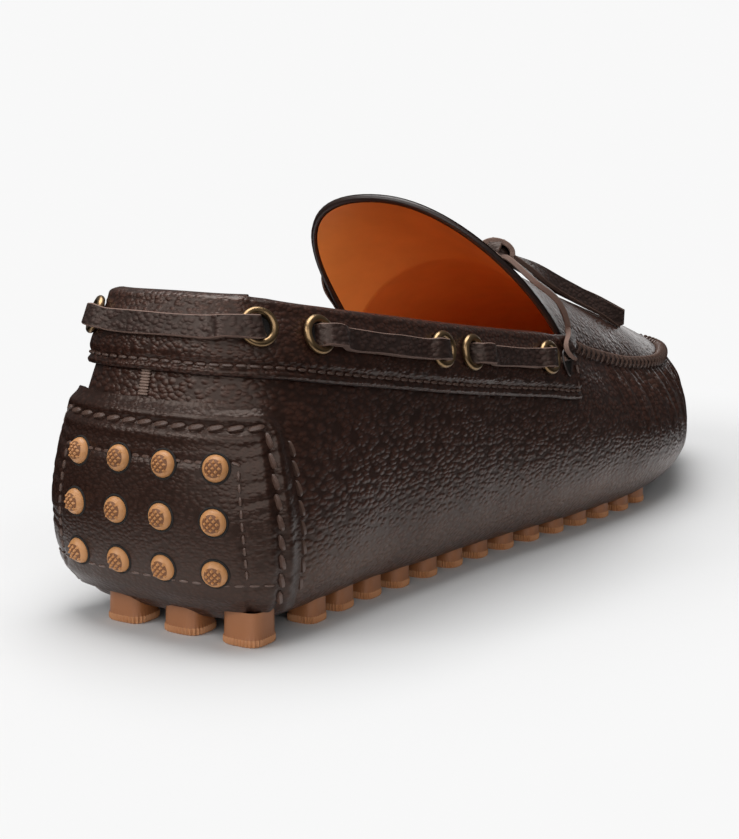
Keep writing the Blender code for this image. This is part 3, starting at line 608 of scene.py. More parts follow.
# Outsole and insole
# Two moulded rubber plates lie inside the upper, and their pegs stand out through it. Each peg is a rounded
# square with a fluted foot. The insole is a thin lined board on top of the plates.
RUBBER = plain("gum rubber", (0.27, 0.100, 0.034), 0.48, grain_size=0.0006, depth=0.00008, mottled=0.10)
# The pegs' fluted feet and soles take a lighter, rougher rubber colour than their stems.
RUBBER_LIGHTER_FOOT = plain(
    "gum rubber foot", (0.42, 0.190, 0.080), 0.55, grain_size=0.0004, depth=0.00008, mottled=0.10,
)
INSOLE_THICKNESS, PLATE_THICKNESS = 0.0025, 0.0015
PEG_WIDTH, PEG_PITCH, PEG_OVER_EDGE = 0.0078, 0.0119, 0.0026
PEG_FIELD_PITCH, PEG_FIELD_ROWS = 0.0230, 4
FIRST_PEG_ALONG, LAST_PEG_ALONG, TOE_PEG_INSET, TOE_PEGS_END = 0.0310, 0.1880, 0.0150, 0.2450
REAR_PEG_WIDTH, REAR_PEG_ALONG, REAR_PEG_PITCH, REAR_PEG_SHIFT = 0.0100, 0.0103, 0.0155, 0.0045
SOLE_SPLIT_ALONG, SOLE_SPLIT_GAP = 0.1340, 0.0040
PEG_ROOT, SQUARE_PEGS_END, PEG_POINTS = 0.0022, 0.062, 144
FLUTES, FLUTE_DEPTH = 36, 0.00042


def peg_line(side):
    points = []
    for row in np.linspace(1, LAST_ROW, 300):
        here, outward = outline_at(side * float(row))
        points.append(here - outward * (section_at(side * float(row))["floor_inset"] - PEG_OVER_EDGE))
    points = np.array(points)
    return points[:, 1], points[:, 0]


def peg_list():
    pegs = []
    lines = {side: peg_line(side) for side in (1, -1)}
    count = round((LAST_PEG_ALONG - FIRST_PEG_ALONG) / PEG_PITCH)
    for side in (1, -1):
        for y in np.linspace(FIRST_PEG_ALONG, LAST_PEG_ALONG, count + 1):
            pegs.append((float(np.interp(y, *lines[side])), float(y), PEG_WIDTH))
    y = FIRST_PEG_ALONG - PEG_PITCH / 2
    while y < TOE_PEGS_END:
        inset = PEG_PITCH if y < LAST_PEG_ALONG else TOE_PEG_INSET
        right, left = (np.interp(y, *lines[side]) - side * inset for side in (1, -1))
        count = int((right - left) / PEG_FIELD_PITCH) + 1
        pegs += [(left + (right - left) * (k + 0.5) / count, y, PEG_WIDTH) for k in range(count)]
        y += PEG_FIELD_ROWS * PEG_PITCH
    for k in (-1, 0, 1):
        pegs.append((REAR_PEG_SHIFT + k * REAR_PEG_PITCH, REAR_PEG_ALONG, REAR_PEG_WIDTH))
    return pegs


def add_peg(shape, x, y, width):
    """Rings down the peg: height over the floor, share of the width, and depth of the flutes."""
    lift = toe_lift(y)
    squareness = 3.4 if y < SQUARE_PEGS_END else 2.6
    rings = []
    steps = (
        (PEG_REACH + WALL + PEG_ROOT, 0.93, 0.0), (0.0030, 0.945, 0.0), (0.0020, 0.950, 0.0),
        (0.0017, 0.985, 0.6), (0.0014, 1.0, 1.0), (0.0007, 0.998, 1.0), (0.0002, 0.97, 1.0),
        (0.0, 0.88, 0.4), (0.0, 0.5, 0.0), (0.0, 0.1, 0.0),
    )
    for height, share, flute in steps:
        ring = []
        for k in range(PEG_POINTS):
            a = 2 * math.pi * k / PEG_POINTS
            c, s = math.cos(a), math.sin(a)
            radius = width / 2 / (abs(c) ** squareness + abs(s) ** squareness) ** (1 / squareness)
            radius *= share
            radius -= flute * FLUTE_DEPTH * (0.5 + 0.5 * math.cos(FLUTES * a))
            ring.append((x + radius * c, y + radius * s, height + lift))
        rings.append(ring)
    shape.grid(rings[:4], 0, wrap_columns=True)
    shape.grid(rings[3:], 1, wrap_columns=True)
    shape.polygon(rings[-1], 1)


def plate(shape, first, last, levels, outer_offset, inner_offset):
    rows = [float(row) for row in np.linspace(first, last, 60)]
    offsets = (outer_offset, inner_offset)
    for offset in offsets:
        shape.grid([
            [skin(-row, level, offset) for level in levels[::-1]]
            + [skin(row, level, offset) for level in levels]
            for row in rows
        ])
    for side in (1, -1):
        shape.grid([[skin(side * row, levels[-1], offset) for offset in offsets] for row in rows])


rows = np.linspace(0, LAST_ROW, 600)
along = [outline_at(float(row))[0][1] for row in rows]
back, front = (
    float(np.interp(SOLE_SPLIT_ALONG + step, along, rows))
    for step in (-SOLE_SPLIT_GAP / 2, SOLE_SPLIT_GAP / 2)
)
for name, first, last in (("outsole_heel", 0.05, back), ("outsole_forepart", front, LAST_ROW - 0.05)):
    sole = Shape()
    plate(sole, first, last, (0.0, 0.15, 0.3, 0.42, 0.55), -(WALL + GAP), -(WALL + GAP + PLATE_THICKNESS))
    for x, y, width in peg_list():
        if (y < SOLE_SPLIT_ALONG) == (name == "outsole_heel"):
            add_peg(sole, x, y, width)
    sole.build(name + "_rubber", [RUBBER, RUBBER_LIGHTER_FOOT], (name,), "rubber")

insole = Shape()
insole_out = -(WALL + GAP + PLATE_THICKNESS + GAP)
plate(insole, 0.05, LAST_ROW - 0.05, (0.0, 0.1, 0.2, 0.3), insole_out, insole_out - INSOLE_THICKNESS)
insole.build("insole_board", [LINING], ("insole",), "lining")


# Apron and tongue
# One piece of the same leather lined with caramel calf. It is sewn into the top of the upper and runs back
# into a high tongue, which stands free with a dark finished edge.
EDGE_LEATHER = plain("cut edge", (0.022, 0.012, 0.010), 0.36, grain_size=0.0004)
APRON_THICKNESS, APRON_GAP, APRON_SEAT, APRON_POWER = 0.0022, 0.0005, 0.6, 0.7
APRON_ROWS, TONGUE_ROWS, EDGE_RADIUS = 110, 28, 0.00095
# The pitch, length, width and height of the stitches that show inside
INSIDE_STITCH = (0.0036, 0.0026, 0.0011, 0.0008)
TONGUE_LENGTH, TONGUE_LIFT, TONGUE_FLARE, TONGUE_SHIFT, TONGUE_ROUND = 0.0330, 0.0165, 0.30, -0.0080, 2.8
ACROSS = [math.sin(math.pi * (0.5 - k / 56)) for k in range(57)]


@functools.lru_cache(None)
def apron_edge(row, side, inset):
    section = section_at(side * row)
    edge = skin(side * row, 2.0, -(WALL + APRON_GAP + inset))
    edge[2] = section["top"] - section["rise"] * APRON_SEAT
    return edge


def apron_point(row, across, inset=0.0):
    row = float(row)
    outer, inner = apron_edge(row, 1, inset), apron_edge(row, -1, inset)
    crown = max(section_at(row)["crown"] - inset, 0.0)
    point = inner + (outer - inner) * (across + 1) / 2
    point[2] += crown * max(0.0, 1 - across**2) ** APRON_POWER
    return point


def tongue_moved(point, across, middle, share):
    """A point of the throat's line, moved back and up into the tongue by a share of its length."""
    part = share * (1 - abs(across) ** TONGUE_ROUND)
    moved = point.copy()
    moved[0] += ((point[0] - middle) * TONGUE_FLARE + TONGUE_SHIFT) * part
    moved[1] -= TONGUE_LENGTH * part
    moved[2] += TONGUE_LIFT * part
    return moved


def apron_lines(inset):
    rows = np.linspace(LAST_ROW, THROAT_ROW, APRON_ROWS)
    lines = [[apron_point(row, across, inset) for across in ACROSS] for row in rows]
    throat = lines[-1]
    middle = (throat[0][0] + throat[-1][0]) / 2
    for share in (number / TONGUE_ROWS for number in range(1, TONGUE_ROWS + 1)):
        lines.append([tongue_moved(point, across, middle, share) for across, point in zip(ACROSS, throat)])
    return np.array(lines)


apron_out, apron_in = apron_lines(0.0), apron_lines(APRON_THICKNESS)
ripple = np.zeros(apron_out.shape[:2])
for i in range(APRON_ROWS):
    row = LAST_ROW + (THROAT_ROW - LAST_ROW) * i / (APRON_ROWS - 1)
    for j, across in enumerate(ACROSS):
        side_on = (1 - abs(across)) * 0.035
        s = seam_distance(row if across > 0 else -row)
        ripple[i, j] = 0.35 * fullness(s, 0.002 + side_on) if side_on < 0.02 else 0.0
apron_out[:, :, 2] += ripple
apron = Shape()
apron.grid(apron_out, 0)
apron.grid(apron_in, 1)
edge = (apron_out[-1] + apron_in[-1]) / 2
apron.tube(edge[2:-2], EDGE_RADIUS, 10, 2)
# The row of stitches that shows inside, under the apron's inner edge
inside_line = apron_in[18:APRON_ROWS, -5]
inside_ups = apron_in[18:APRON_ROWS, -7] - apron_in[18:APRON_ROWS, -4]
inside_ups = inside_ups + np.array((0.0, 0.0, -1.2)) * np.linalg.norm(inside_ups, axis=1)[:, None]
stitched_line(apron, inside_line, inside_ups, *INSIDE_STITCH, 2)
apron.build("apron_and_tongue", [UPPER_LEATHER, LINING, EDGE_LEATHER], ("tongue_apron",), "leather")


# Hand-sewn seam
# The apron and the gathered upper stand up together and are whipped over with waxed thread, so the seam
# reads as a rope round the front of the foot.
THREAD = plain("brown waxed thread", (0.090, 0.052, 0.039), 0.36, grain_size=0.0003)
SEAM_RADIUS, SEAM_SWELL, SEAM_INSIDE, SEAM_END_ROW = 0.00130, 0.16, 0.0013, 8.35
STITCH_PITCH, THREAD_RADIUS = 0.00350, 0.00042
LOOP_ACROSS, LOOP_UP, LOOP_SLANT = 0.00155, 0.00160, 0.0013

seam = Shape()
walk_rows, (walk_out, walk_in) = WALKS[2.0]
seam_start, seam_back = (float(np.interp(SEAM_END_ROW, walk_rows, walk)) for walk in (walk_out, walk_in))
seam_places = [place_along(s, 2.0) for s in np.linspace(seam_start, walk_out[-1], 420)]
seam_places += [place_along(-s, 2.0) for s in np.linspace(walk_in[-1], seam_back, 420)][1:]
rope_line = np.array([skin(t, 2.75, -SEAM_INSIDE) for t in seam_places])
rope_turns = [2 * math.pi * seam_distance(t) / STITCH_PITCH + math.pi for t in seam_places]
seam.tube(rope_line, [SEAM_RADIUS * (1 + SEAM_SWELL * math.cos(turn)) for turn in rope_turns], 10, 0)
walked = lengths_along(rope_line)
count = int(walked[-1] / STITCH_PITCH)
for k in range(count):
    s = (k + 0.5) * walked[-1] / count
    centre = point_along(rope_line, walked, s)
    ahead = unit(point_along(rope_line, walked, s + 0.001) - centre)
    side = unit(np.cross(ahead, (0, 0, 1.0)))
    up = np.cross(side, ahead)
    loop = circle(centre, side * LOOP_ACROSS + ahead * LOOP_SLANT, up * LOOP_UP, 1, 18)
    seam.tube(loop, THREAD_RADIUS, 6, 1, closed=True, up=ahead)
seam.build("moccasin_seam", [EDGE_LEATHER, THREAD], (), "leather")


# Collar band
# A folded strip of softer leather sewn over the top line. Its tunnel carries the lace, its front ends are
# stitched down on each side, and a short bar tack closes the back seam below it.
BAND_LEATHER = leather("collar leather", BROWN_LOW, BROWN_HIGH, 0.00100, 0.00014, 0.36)
TACK = plain("tan bar tack", (0.20, 0.13, 0.10), 0.6, grain_size=0.0003)
BAND_HEIGHT, BAND_LINING_DROP, BAND_TUNNEL = 0.0165, 0.0060, 0.0012
BAND_SWELL, BAND_SHOULDER, BAND_END_ROW, LINING_GAP = 0.0035, 0.0014, 8.25, 0.0006
BAND_FACE = GAP + BAND_TUNNEL + BAND_THICKNESS
BAND_LOW = BAND_HEIGHT - (BAND_THICKNESS + GAP)
BAND_STATIONS, DIMPLE_WIDTH, DIMPLE_DEPTH = 300, 0.0052, 0.00055
# Pitch, length, width and height of each row's stitches; the tack's has no pitch
LOW_STITCH, END_STITCH = (0.0029, 0.0023, 0.00080, 0.00045), (0.0030, 0.0022, 0.00065, 0.00040)
TACK_LOW, TACK_HIGH, TACK_STITCH = 0.0522, 0.0572, (0.0024, 0.0007, 0.0004)
EYELET_PLACES = tuple(share * LENGTH for share in (0.0685, 0.1178, 0.2724, 0.3163, 0.4446))
TIE_HOLE_PLACE = 0.4780 * LENGTH
EYELET_DROP, EYELET_WIDTH = 0.0068, 0.0089


def collar_point(t, drop, offset=0.0):
    return skin(t, level_at_height(t, section_at(t)["top"] - drop), offset)


def collar_out(t, drop):
    return skin_direction(t, level_at_height(t, section_at(t)["top"] - drop))


def rim_point(t, rise, offset):
    point = skin(t, 3.0, offset)
    point[2] += rise
    return point


def eyelet_frame(distance):
    """A place on the eyelets' line: its centre and the directions along, up and out of the leather."""
    step = 0.001
    drop = EYELET_DROP - BAND_THICKNESS - GAP
    t, ahead = place_along(distance, 3.0), place_along(distance + step, 3.0)
    centre = collar_point(t, drop)
    along = collar_point(ahead, drop) - centre
    outward = unit(np.cross(along, collar_point(t, drop - step) - centre))
    along = unit(along)
    return centre, (along, np.cross(outward, along), outward)


EYELET_FRAMES = {
    (side, number): eyelet_frame(side * place)
    for side in (1, -1)
    for number, place in enumerate(EYELET_PLACES, 1)
}
TIE_FRAMES = {side: eyelet_frame(side * TIE_HOLE_PLACE) for side in (1, -1)}


def band_profile(t, thickness):
    """The band's section, from its stitched lower edge up over the tunnel and the rim to its inner edge."""
    puffed = GAP + BAND_TUNNEL + thickness
    inside = -(WALL + LINING_GAP + thickness)
    corners = [collar_point(t, drop, offset) for drop, offset in (
        (BAND_LOW, GAP + thickness * 0.7), (BAND_LOW - 0.0007, GAP + thickness * 1.15),
        (BAND_LOW - 0.0021, GAP + thickness * 0.9), (BAND_LOW - 0.0036, puffed - 0.0003),
        (BAND_LOW - 2 * BAND_SWELL, puffed), (0.0045, puffed), (BAND_SHOULDER, puffed - 0.0006),
    )]
    corners += [
        rim_point(t, GAP + thickness - 0.0001, (GAP + puffed) / 2 - 0.0006),
        rim_point(t, GAP + thickness, (inside - WALL - LINING_GAP) / 2),
        collar_point(t, BAND_SHOULDER, inside), collar_point(t, BAND_LINING_DROP, inside),
    ]
    return np.array([smooth_value(corners, u, False) for u in np.linspace(0, len(corners) - 1, 45)])


band = Shape()
band_reach = [float(np.interp(BAND_END_ROW, WALKS[3.0][0], walk)) for walk in WALKS[3.0][1]]
band_steps = np.linspace(-band_reach[1], band_reach[0], BAND_STATIONS)
band_places = [place_along(s, 3.0) for s in band_steps]
hole_centres = np.array(
    [frame[0] + frame[1][2] * BAND_FACE for frame in [*EYELET_FRAMES.values(), *TIE_FRAMES.values()]]
)
# Each fold's place round the collar, width and depth
draw = random.Random(11)
band_folds = [
    (draw.uniform(-0.14, 0.14), draw.uniform(0.0015, 0.004), draw.uniform(0.00005, 0.00018))
    for _ in range(46)
]
outer_band, inner_band = [], []
for s, t in zip(band_steps, band_places):
    line = band_profile(t, BAND_THICKNESS)
    fold = sum(depth * bell(s - place, width) for place, width, depth in band_folds)
    outward = np.array((*outline_at(t)[1], 0.0))
    for k in range(4, 26):
        near = np.exp(-(np.linalg.norm(hole_centres - line[k], axis=1) / DIMPLE_WIDTH) ** 2).sum()
        line[k] = line[k] - outward * (fold * math.sin(math.pi * (k - 4) / 22) + DIMPLE_DEPTH * near)
    outer_band.append(line)
    inner_band.append(band_profile(t, 0.0)[::4])
band.grid(outer_band, 0)
band.grid(inner_band, 0)
for k in (0, -1):
    band.grid([[line[k] for line in outer_band], [line[k] for line in inner_band]], 1)
    band.grid([outer_band[k][::4], inner_band[k]], 1)
low_line = [collar_point(t, BAND_LOW - 0.0021, GAP + BAND_THICKNESS) for t in band_places]
low_ups = [collar_out(t, BAND_LOW) for t in band_places]
stitched_line(band, low_line, low_ups, *LOW_STITCH, 2)
for side in (1, -1):
    t = side * (BAND_END_ROW - 0.07)
    drops = np.linspace(0.0020, BAND_LOW - 0.002, 12)
    line = [collar_point(t, drop, BAND_FACE + (0.0001 if drop < 0.009 else -0.0007)) for drop in drops]
    stitched_line(band, line, [collar_out(t, drop) for drop in drops], *END_STITCH, 2)
t = place_along(-0.0030, 1.0)
for height in np.linspace(TACK_LOW, TACK_HIGH, 9):
    level = level_at_height(t, float(height))
    place, out = skin(t, level, 0.0003), skin_direction(t, level)
    band.stitch(place, np.array((1.0, 0.1, 0)), out, *TACK_STITCH, 3)
band.build("collar_band_leather", [BAND_LEATHER, EDGE_LEATHER, THREAD, TACK], ("collar_band",), "leather")


# Eyelets
# Rolled brass eyelets, five a side, pressed through the band. The last hole on each side, which the tie comes
# out of, is only punched.
BRASS = plain("old brass", (0.27, 0.175, 0.090), 0.30, 0.95, grain_size=0.0007, depth=0.00004, mottled=0.30)
# A near-black finish painted as shade: it closes each eyelet's bore, fills each tie hole, and rings each
# stud's foot as a painted shadow.
PAINTED_SHADE = plain("hole", (0.006, 0.004, 0.003), 0.8)
EYELET_ROLL, EYELET_STAND, EYELET_POINTS = 0.00092, 0.00045, 40
EYELET_BORE = ((0.00318, 0.0007), (0.00300, 0.0002), (0.00296, -0.0001))
TIE_HOLE_SIZE, TIE_HOLE_POINTS = (0.0021, 0.0027), 28

for (side, number), (centre, (ahead, up, out)) in EYELET_FRAMES.items():
    ring = Shape()
    middle = centre + out * (BAND_FACE + EYELET_STAND)
    line = circle(middle, ahead, up, EYELET_WIDTH / 2 - EYELET_ROLL, EYELET_POINTS)
    ring.tube(line, EYELET_ROLL, 12, 0, closed=True, up=out)
    bore = [
        circle(centre + out * (BAND_FACE + height), ahead, up, radius, EYELET_POINTS)
        for radius, height in EYELET_BORE
    ]
    ring.grid(bore, 0, wrap_columns=True)
    # A dark disc of painted shade closes the bore.
    ring.polygon(bore[-1], 1)
    word = "outer" if side > 0 else "inner"
    ring.build(f"eyelet_{word}_{number}_brass", [BRASS, PAINTED_SHADE], (f"eyelet_{word}_{number}",), "brass")
tie_holes = Shape()
for centre, (ahead, up, out) in TIE_FRAMES.values():
    rim = []
    for k in range(TIE_HOLE_POINTS):
        a = 2 * math.pi * k / TIE_HOLE_POINTS
        tall = TIE_HOLE_SIZE[1] * (1.0 + 0.55 * max(0.0, -math.sin(a)) ** 2)
        place = centre + ahead * math.cos(a) * TIE_HOLE_SIZE[0] + up * math.sin(a) * tall
        rim.append(place + out * (BAND_FACE + 0.00005))
    # The hole itself is a dark disc of painted shade laid on the band.
    tie_holes.polygon(rim, 0)
    tie_holes.tube(rim, 0.00030, 6, 1, closed=True, up=out)
tie_holes.build("tie_holes", [PAINTED_SHADE, EDGE_LEATHER], (), "leather")


# Lace
# One flat leather strip with raw edges runs in the collar's tunnel and shows round the heel and twice on each
# side. It is tied in front of the tongue, and its two cut ends lie forward over the apron.
LACE_LEATHER = leather("lace leather", (0.012, 0.0065, 0.005), (0.040, 0.021, 0.017), 0.0012, 0.0002, 0.45)
RAW_EDGE = plain("raw lace edge", (0.155, 0.092, 0.070), 0.75, grain_size=0.0003)
LACE_FINISHES = [LACE_LEATHER, RAW_EDGE]
LACE_WIDTH, LACE_THICKNESS, LACE_BEVEL = 0.0043, 0.0015, 0.00022
RUN_WIDTH, END_WIDTH, KNOT_WIDTH = 0.0049, 0.0054, 0.0038
# Distance along from an eyelet, and height over its leather, as the lace comes out
LEAVE_EYELET = ((-0.0002, 0.0014), (0.0000, 0.0030), (0.0004, 0.0043), (0.0014, 0.0056), (0.0048, 0.0060))
RUN_HEIGHT = BAND_FACE + 2 * GAP + LACE_THICKNESS / 2
# Height over the leather and rise, as the tie comes out of its hole
TIE_START = ((0.0014, 0), (0.0038, 0.0008), (0.0046, 0.0034))
# Routes over the apron and tongue: row, place across and height over the leather
TIE_ROUTE = (
    (7.95, 0.970, 0.0022), (7.62, 0.900, 0.0036), (7.78, 0.80, 0.0018), (8.10, 0.68, 0.0016),
    (8.42, 0.52, 0.0018), (8.72, 0.38, 0.0022),
)
TIE_ENDS = {
    1: ((8.92, 0.28, 0.0026), (9.08, 0.17, 0.0042)),
    -1: ((8.92, 0.22, 0.0020), (9.08, 0.00, 0.0038)),
}
NEAR_END_ROUTE = (
    (9.20, 0.18, 0.0048), (9.32, 0.22, 0.0046), (9.60, 0.29, 0.0044), (9.95, 0.39, 0.0036),
    (10.30, 0.51, 0.0030), (10.60, 0.62, 0.0028), (10.85, 0.72, 0.0027),
)
FAR_END_ROUTE = (
    (9.20, 0.08, 0.0046), (9.34, 0.08, 0.0045), (9.70, 0.14, 0.0042), (10.10, 0.25, 0.0034),
    (10.50, 0.38, 0.0029), (10.90, 0.53, 0.0027), (11.25, 0.67, 0.0027),
)
END_LEAN = np.array((0.85, -0.40, 0.10))
KNOT_PLACE = (9.14, 0.12, 0.0042)
KNOT_SIZE = (0.0040, 0.0036, 0.0026)
# Each turn of the knot: angle, half width, half height and shift to the side
KNOT_TURNS = (
    (0.45, 0.0047, 0.0033, -0.0019), (0.55, 0.0046, 0.0034, 0.0021), (1.75, 0.0043, 0.0037, 0.0),
)


def lace_strip(shape, points, normals, width=LACE_WIDTH, wander=0.0, seed=1):
    """A strip with bevelled corners; its narrow faces take the raw edge. Returns its centre line."""
    draw = random.Random(seed)
    count = (len(points) - 1) * 8 + 1
    line = np.array([smooth_value(points, u, False) for u in np.linspace(0, len(points) - 1, count)])
    faces = np.array([smooth_value(normals, u, False) for u in np.linspace(0, len(points) - 1, count)])
    phase = draw.uniform(0, 6)
    rings = []
    for k, (point, run, normal) in enumerate(zip(line, np.gradient(line, axis=0), faces)):
        side = unit(np.cross(run, normal))
        up = unit(np.cross(side, run))
        tilt = wander * math.sin(phase + k * 0.23)
        side, up = side * math.cos(tilt) + up * math.sin(tilt), up * math.cos(tilt) - side * math.sin(tilt)
        wide, thick = width / 2 * (1 + 0.03 * math.sin(phase + k * 0.45)), LACE_THICKNESS / 2
        in_wide, in_thick = wide - LACE_BEVEL, thick - LACE_BEVEL
        corners = (
            (in_wide, thick), (-in_wide, thick), (-wide, in_thick), (-wide, -in_thick),
            (-in_wide, -thick), (in_wide, -thick), (wide, -in_thick), (wide, in_thick),
        )
        rings.append([point + side * a + up * b for a, b in corners])
    rings = np.array(rings)
    for k in range(8):
        shape.grid(rings[:, [k, (k + 1) % 8]], 0 if k in (0, 4) else 1)
    shape.caps(rings, 1)
    return line


def eyelet_run(start, end):
    """A run from one eyelet to the next, out of the leather and back, sagging a little between."""
    settled = LEAVE_EYELET[-1][0] + 0.0035
    count = max(1, round((end - start - 2 * settled) / 0.009))
    places = [(start + step, high) for step, high in LEAVE_EYELET]
    places += [(place, RUN_HEIGHT) for place in np.linspace(start + settled, end - settled, count + 1)]
    places += [(end - step, high) for step, high in LEAVE_EYELET[::-1]]
    points, ups = [], []
    for k, (distance, high) in enumerate(places):
        centre, (_, up, out) = eyelet_frame(float(distance))
        points.append(centre + out * high - up * 0.0006 * math.sin(math.pi * k / (len(places) - 1)))
        ups.append(up)
    points = np.array(points)
    return points, [unit(np.cross(run, up)) for run, up in zip(np.gradient(points, axis=0), ups)]


def top_point(row, across):
    """A point on the apron, or on the tongue where row is short of the throat's."""
    if row >= THROAT_ROW:
        return apron_point(row, across)
    middle = (apron_point(THROAT_ROW, 1.0)[0] + apron_point(THROAT_ROW, -1.0)[0]) / 2
    return tongue_moved(apron_point(THROAT_ROW, across), across, middle, THROAT_ROW - row)


def over_apron(route, side):
    points, normals = [], []
    for row, across, lift in route:
        here = top_point(row, side * across)
        ahead = top_point(row + 0.05, side * across) - here
        beside = top_point(row, side * across + 0.02) - here
        normal = unit(np.cross(beside, ahead))
        points.append(here + normal * lift)
        normals.append(normal)
    return points, normals


first = EYELET_PLACES[0]
heel_lace = Shape()
lace_strip(heel_lace, *eyelet_run(-first, first), RUN_WIDTH, wander=0.05)
heel_lace.build("lace_round_heel", LACE_FINISHES, ("lace_heel_run",), "lace")
for side, word in ((1, "outer"), (-1, "inner")):
    for number, (a, b) in enumerate(((1, 2), (3, 4)), 1):
        run = Shape()
        ends = sorted((side * EYELET_PLACES[a], side * EYELET_PLACES[b]))
        lace_strip(run, *eyelet_run(*ends), RUN_WIDTH, wander=0.07, seed=number + (2 if side > 0 else 7))
        run.build(f"lace_{word}_{number}", LACE_FINISHES, (f"lace_{word}_run_{number}",), "lace")
    centre, (_, up, out) = TIE_FRAMES[side]
    start = [centre + out * high + up * rise for high, rise in TIE_START]
    points, normals = over_apron(TIE_ROUTE + TIE_ENDS[side], side)
    tie = Shape()
    lace_strip(tie, start + points, [up, up + out, out] + normals, wander=0.12, seed=5)
    tie.build(f"lace_{word}_tie_strip", LACE_FINISHES, (f"lace_{word}_tie",), "lace")

(knot_centre,), (knot_up,) = over_apron([KNOT_PLACE], 1)
knot_side = unit(np.cross((0, 1.0, 0), knot_up))
knot_forward = np.cross(knot_up, knot_side)
wide, deep, high = KNOT_SIZE
knot = Shape()
core = []
for tilt in np.linspace(-1.5, 1.5, 12):
    middle = knot_centre + knot_up * math.sin(tilt) * high
    core.append(circle(middle, knot_side * wide, knot_forward * deep, math.cos(tilt), 24))
knot.grid(core, 0, wrap_columns=True)
for tilt, wide, high, shift in KNOT_TURNS:
    axis = knot_side * math.cos(tilt) + knot_forward * math.sin(tilt)
    beside = -knot_side * math.sin(tilt) + knot_forward * math.cos(tilt)
    points, normals = [], []
    for k in range(13):
        a = 2 * math.pi * k / 12
        across, over = axis * math.cos(a), knot_up * math.sin(a)
        points.append(knot_centre + across * wide + over * high + beside * shift)
        normals.append(across + over * 1.3)
    lace_strip(knot, points, normals, KNOT_WIDTH, 0.0, 3)
knot.build("lace_knot_tied", LACE_FINISHES, ("lace_knot",), "lace")
for name, route, seed in (("near", NEAR_END_ROUTE, 2), ("far", FAR_END_ROUTE, 9)):
    end = Shape()
    points, normals = over_apron(route, 1)
    normals = [
        normal * (0.9 - 0.12 * k) + END_LEAN * min(1.0, 0.25 * k) for k, normal in enumerate(normals)
    ]
    line = lace_strip(end, points, normals, END_WIDTH, wander=0.10, seed=seed)
    thing = end.build(f"lace_{name}_end", LACE_FINISHES, (f"lace_end_{name}",), "lace")


# Heel patch and studs
# A leather patch sewn over the back of the heel with a heavy laced seam, and rubber studs standing out
# through it from a plate behind. Each stud has a diamond-knurled dome.
PATCH_LEATHER = leather(
    "heel patch leather", (0.012, 0.0050, 0.0033), (0.030, 0.0122, 0.0082), 0.0009, 0.00006, 0.34,
)
STUD_RUBBER = plain("stud rubber", (0.50, 0.235, 0.088), 0.42, grain_size=0.0006, depth=0.00006, mottled=0.08)
# The dome's crown between the knurls is painted dark as the shade in the grooves.
STUD_GROOVE_SHADE = plain("stud groove shade", (0.17, 0.065, 0.021), 0.6)
PATCH_THICKNESS, PATCH_REACH, PATCH_TOP, PATCH_FOOT = 0.0013, 0.0335, 0.0515, 0.0085
PATCH_CORNER, PATCH_FLARE, STUD_PLATE = 0.0070, 0.0034, 0.0009
STUD_WIDTH, STUD_REACH, STUD_PITCH, STUD_ROW_PITCH = 0.0058, 0.0020, 0.0118, 0.0106
STUD_TOP_ROW, STUD_SHIFT, STUD_POINTS = 0.0385, 0.0003, 72
DOME, DOME_SHARES = 0.0021, (0.99, 0.97, 0.94, 0.90, 0.84, 0.78, 0.68, 0.60, 0.45, 0.30, 0.15, 0.03)
KNURL, KNURL_HEIGHT, KNURL_REACH = 0.00128, 0.0004, 0.66
PATCH_FACE = GAP + STUD_PLATE + GAP + PATCH_THICKNESS
# Pitch, length, width and height of each row's stitches
LACED_STITCH, FINE_STITCH = (0.0042, 0.0036, 0.00150, 0.00085), (0.0026, 0.0019, 0.00080, 0.00045)
FOOT_STITCH, SIDE_STITCH = (0.0030, 0.0021, 0.0006, 0.0003), (0.0042, 0.0036, 0.0015, 0.0009)
# Ridges and grooves beside the seams: distance in from the edge, height and width
PATCH_RELIEF = (
    (0.0050, -0.00065, 0.0010), (0.0028, 0.00040, 0.0013), (0.0072, 0.00030, 0.0012),
    (0.0120, -0.00035, 0.0007),
)


def patch_side(height):
    """How far round from the heel's middle the patch reaches at a height."""
    return PATCH_REACH + PATCH_FLARE * (PATCH_TOP - height) / (PATCH_TOP - PATCH_FOOT)


def edge_distance(s, height):
    """Distance in from the patch's edge, with its top corners rounded."""
    from_side, from_top = patch_side(height) - abs(s), PATCH_TOP - height
    if from_side < PATCH_CORNER and from_top < PATCH_CORNER:
        return PATCH_CORNER - math.hypot(PATCH_CORNER - from_side, PATCH_CORNER - from_top)
    return min(from_side, from_top)


def patch_lift(s, height):
    """How far the patch lies out of the upper: raised over the studs' plate, and creased at its sides."""
    inside = edge_distance(s, height)
    raised = eased(inside / 0.0045) * eased((height - PATCH_FOOT) / 0.004)
    lift = GAP + PATCH_THICKNESS + (STUD_PLATE + GAP) * raised
    lift += sum(rise * bell(inside - place, width) for place, rise, width in PATCH_RELIEF)
    for k in range(15):
        place = 0.012 + 0.0026 * k + 0.0007 * math.sin(2.3 * k)
        fold = bell(height - place - 0.25 * (abs(s) - 0.028), 0.0007)
        deep = 0.00016 + 0.00014 * math.sin(1.7 * k + 0.4)
        lift -= deep * fold * eased((abs(s) - 0.0205) / 0.005) * eased(inside / 0.002)
    return lift


def on_patch(s, height, lift):
    t = place_along(s, 1.0)
    return skin(t, level_at_height(t, height), lift)


def patch_out(s, height):
    t = place_along(s, 1.0)
    return skin_direction(t, level_at_height(t, height))


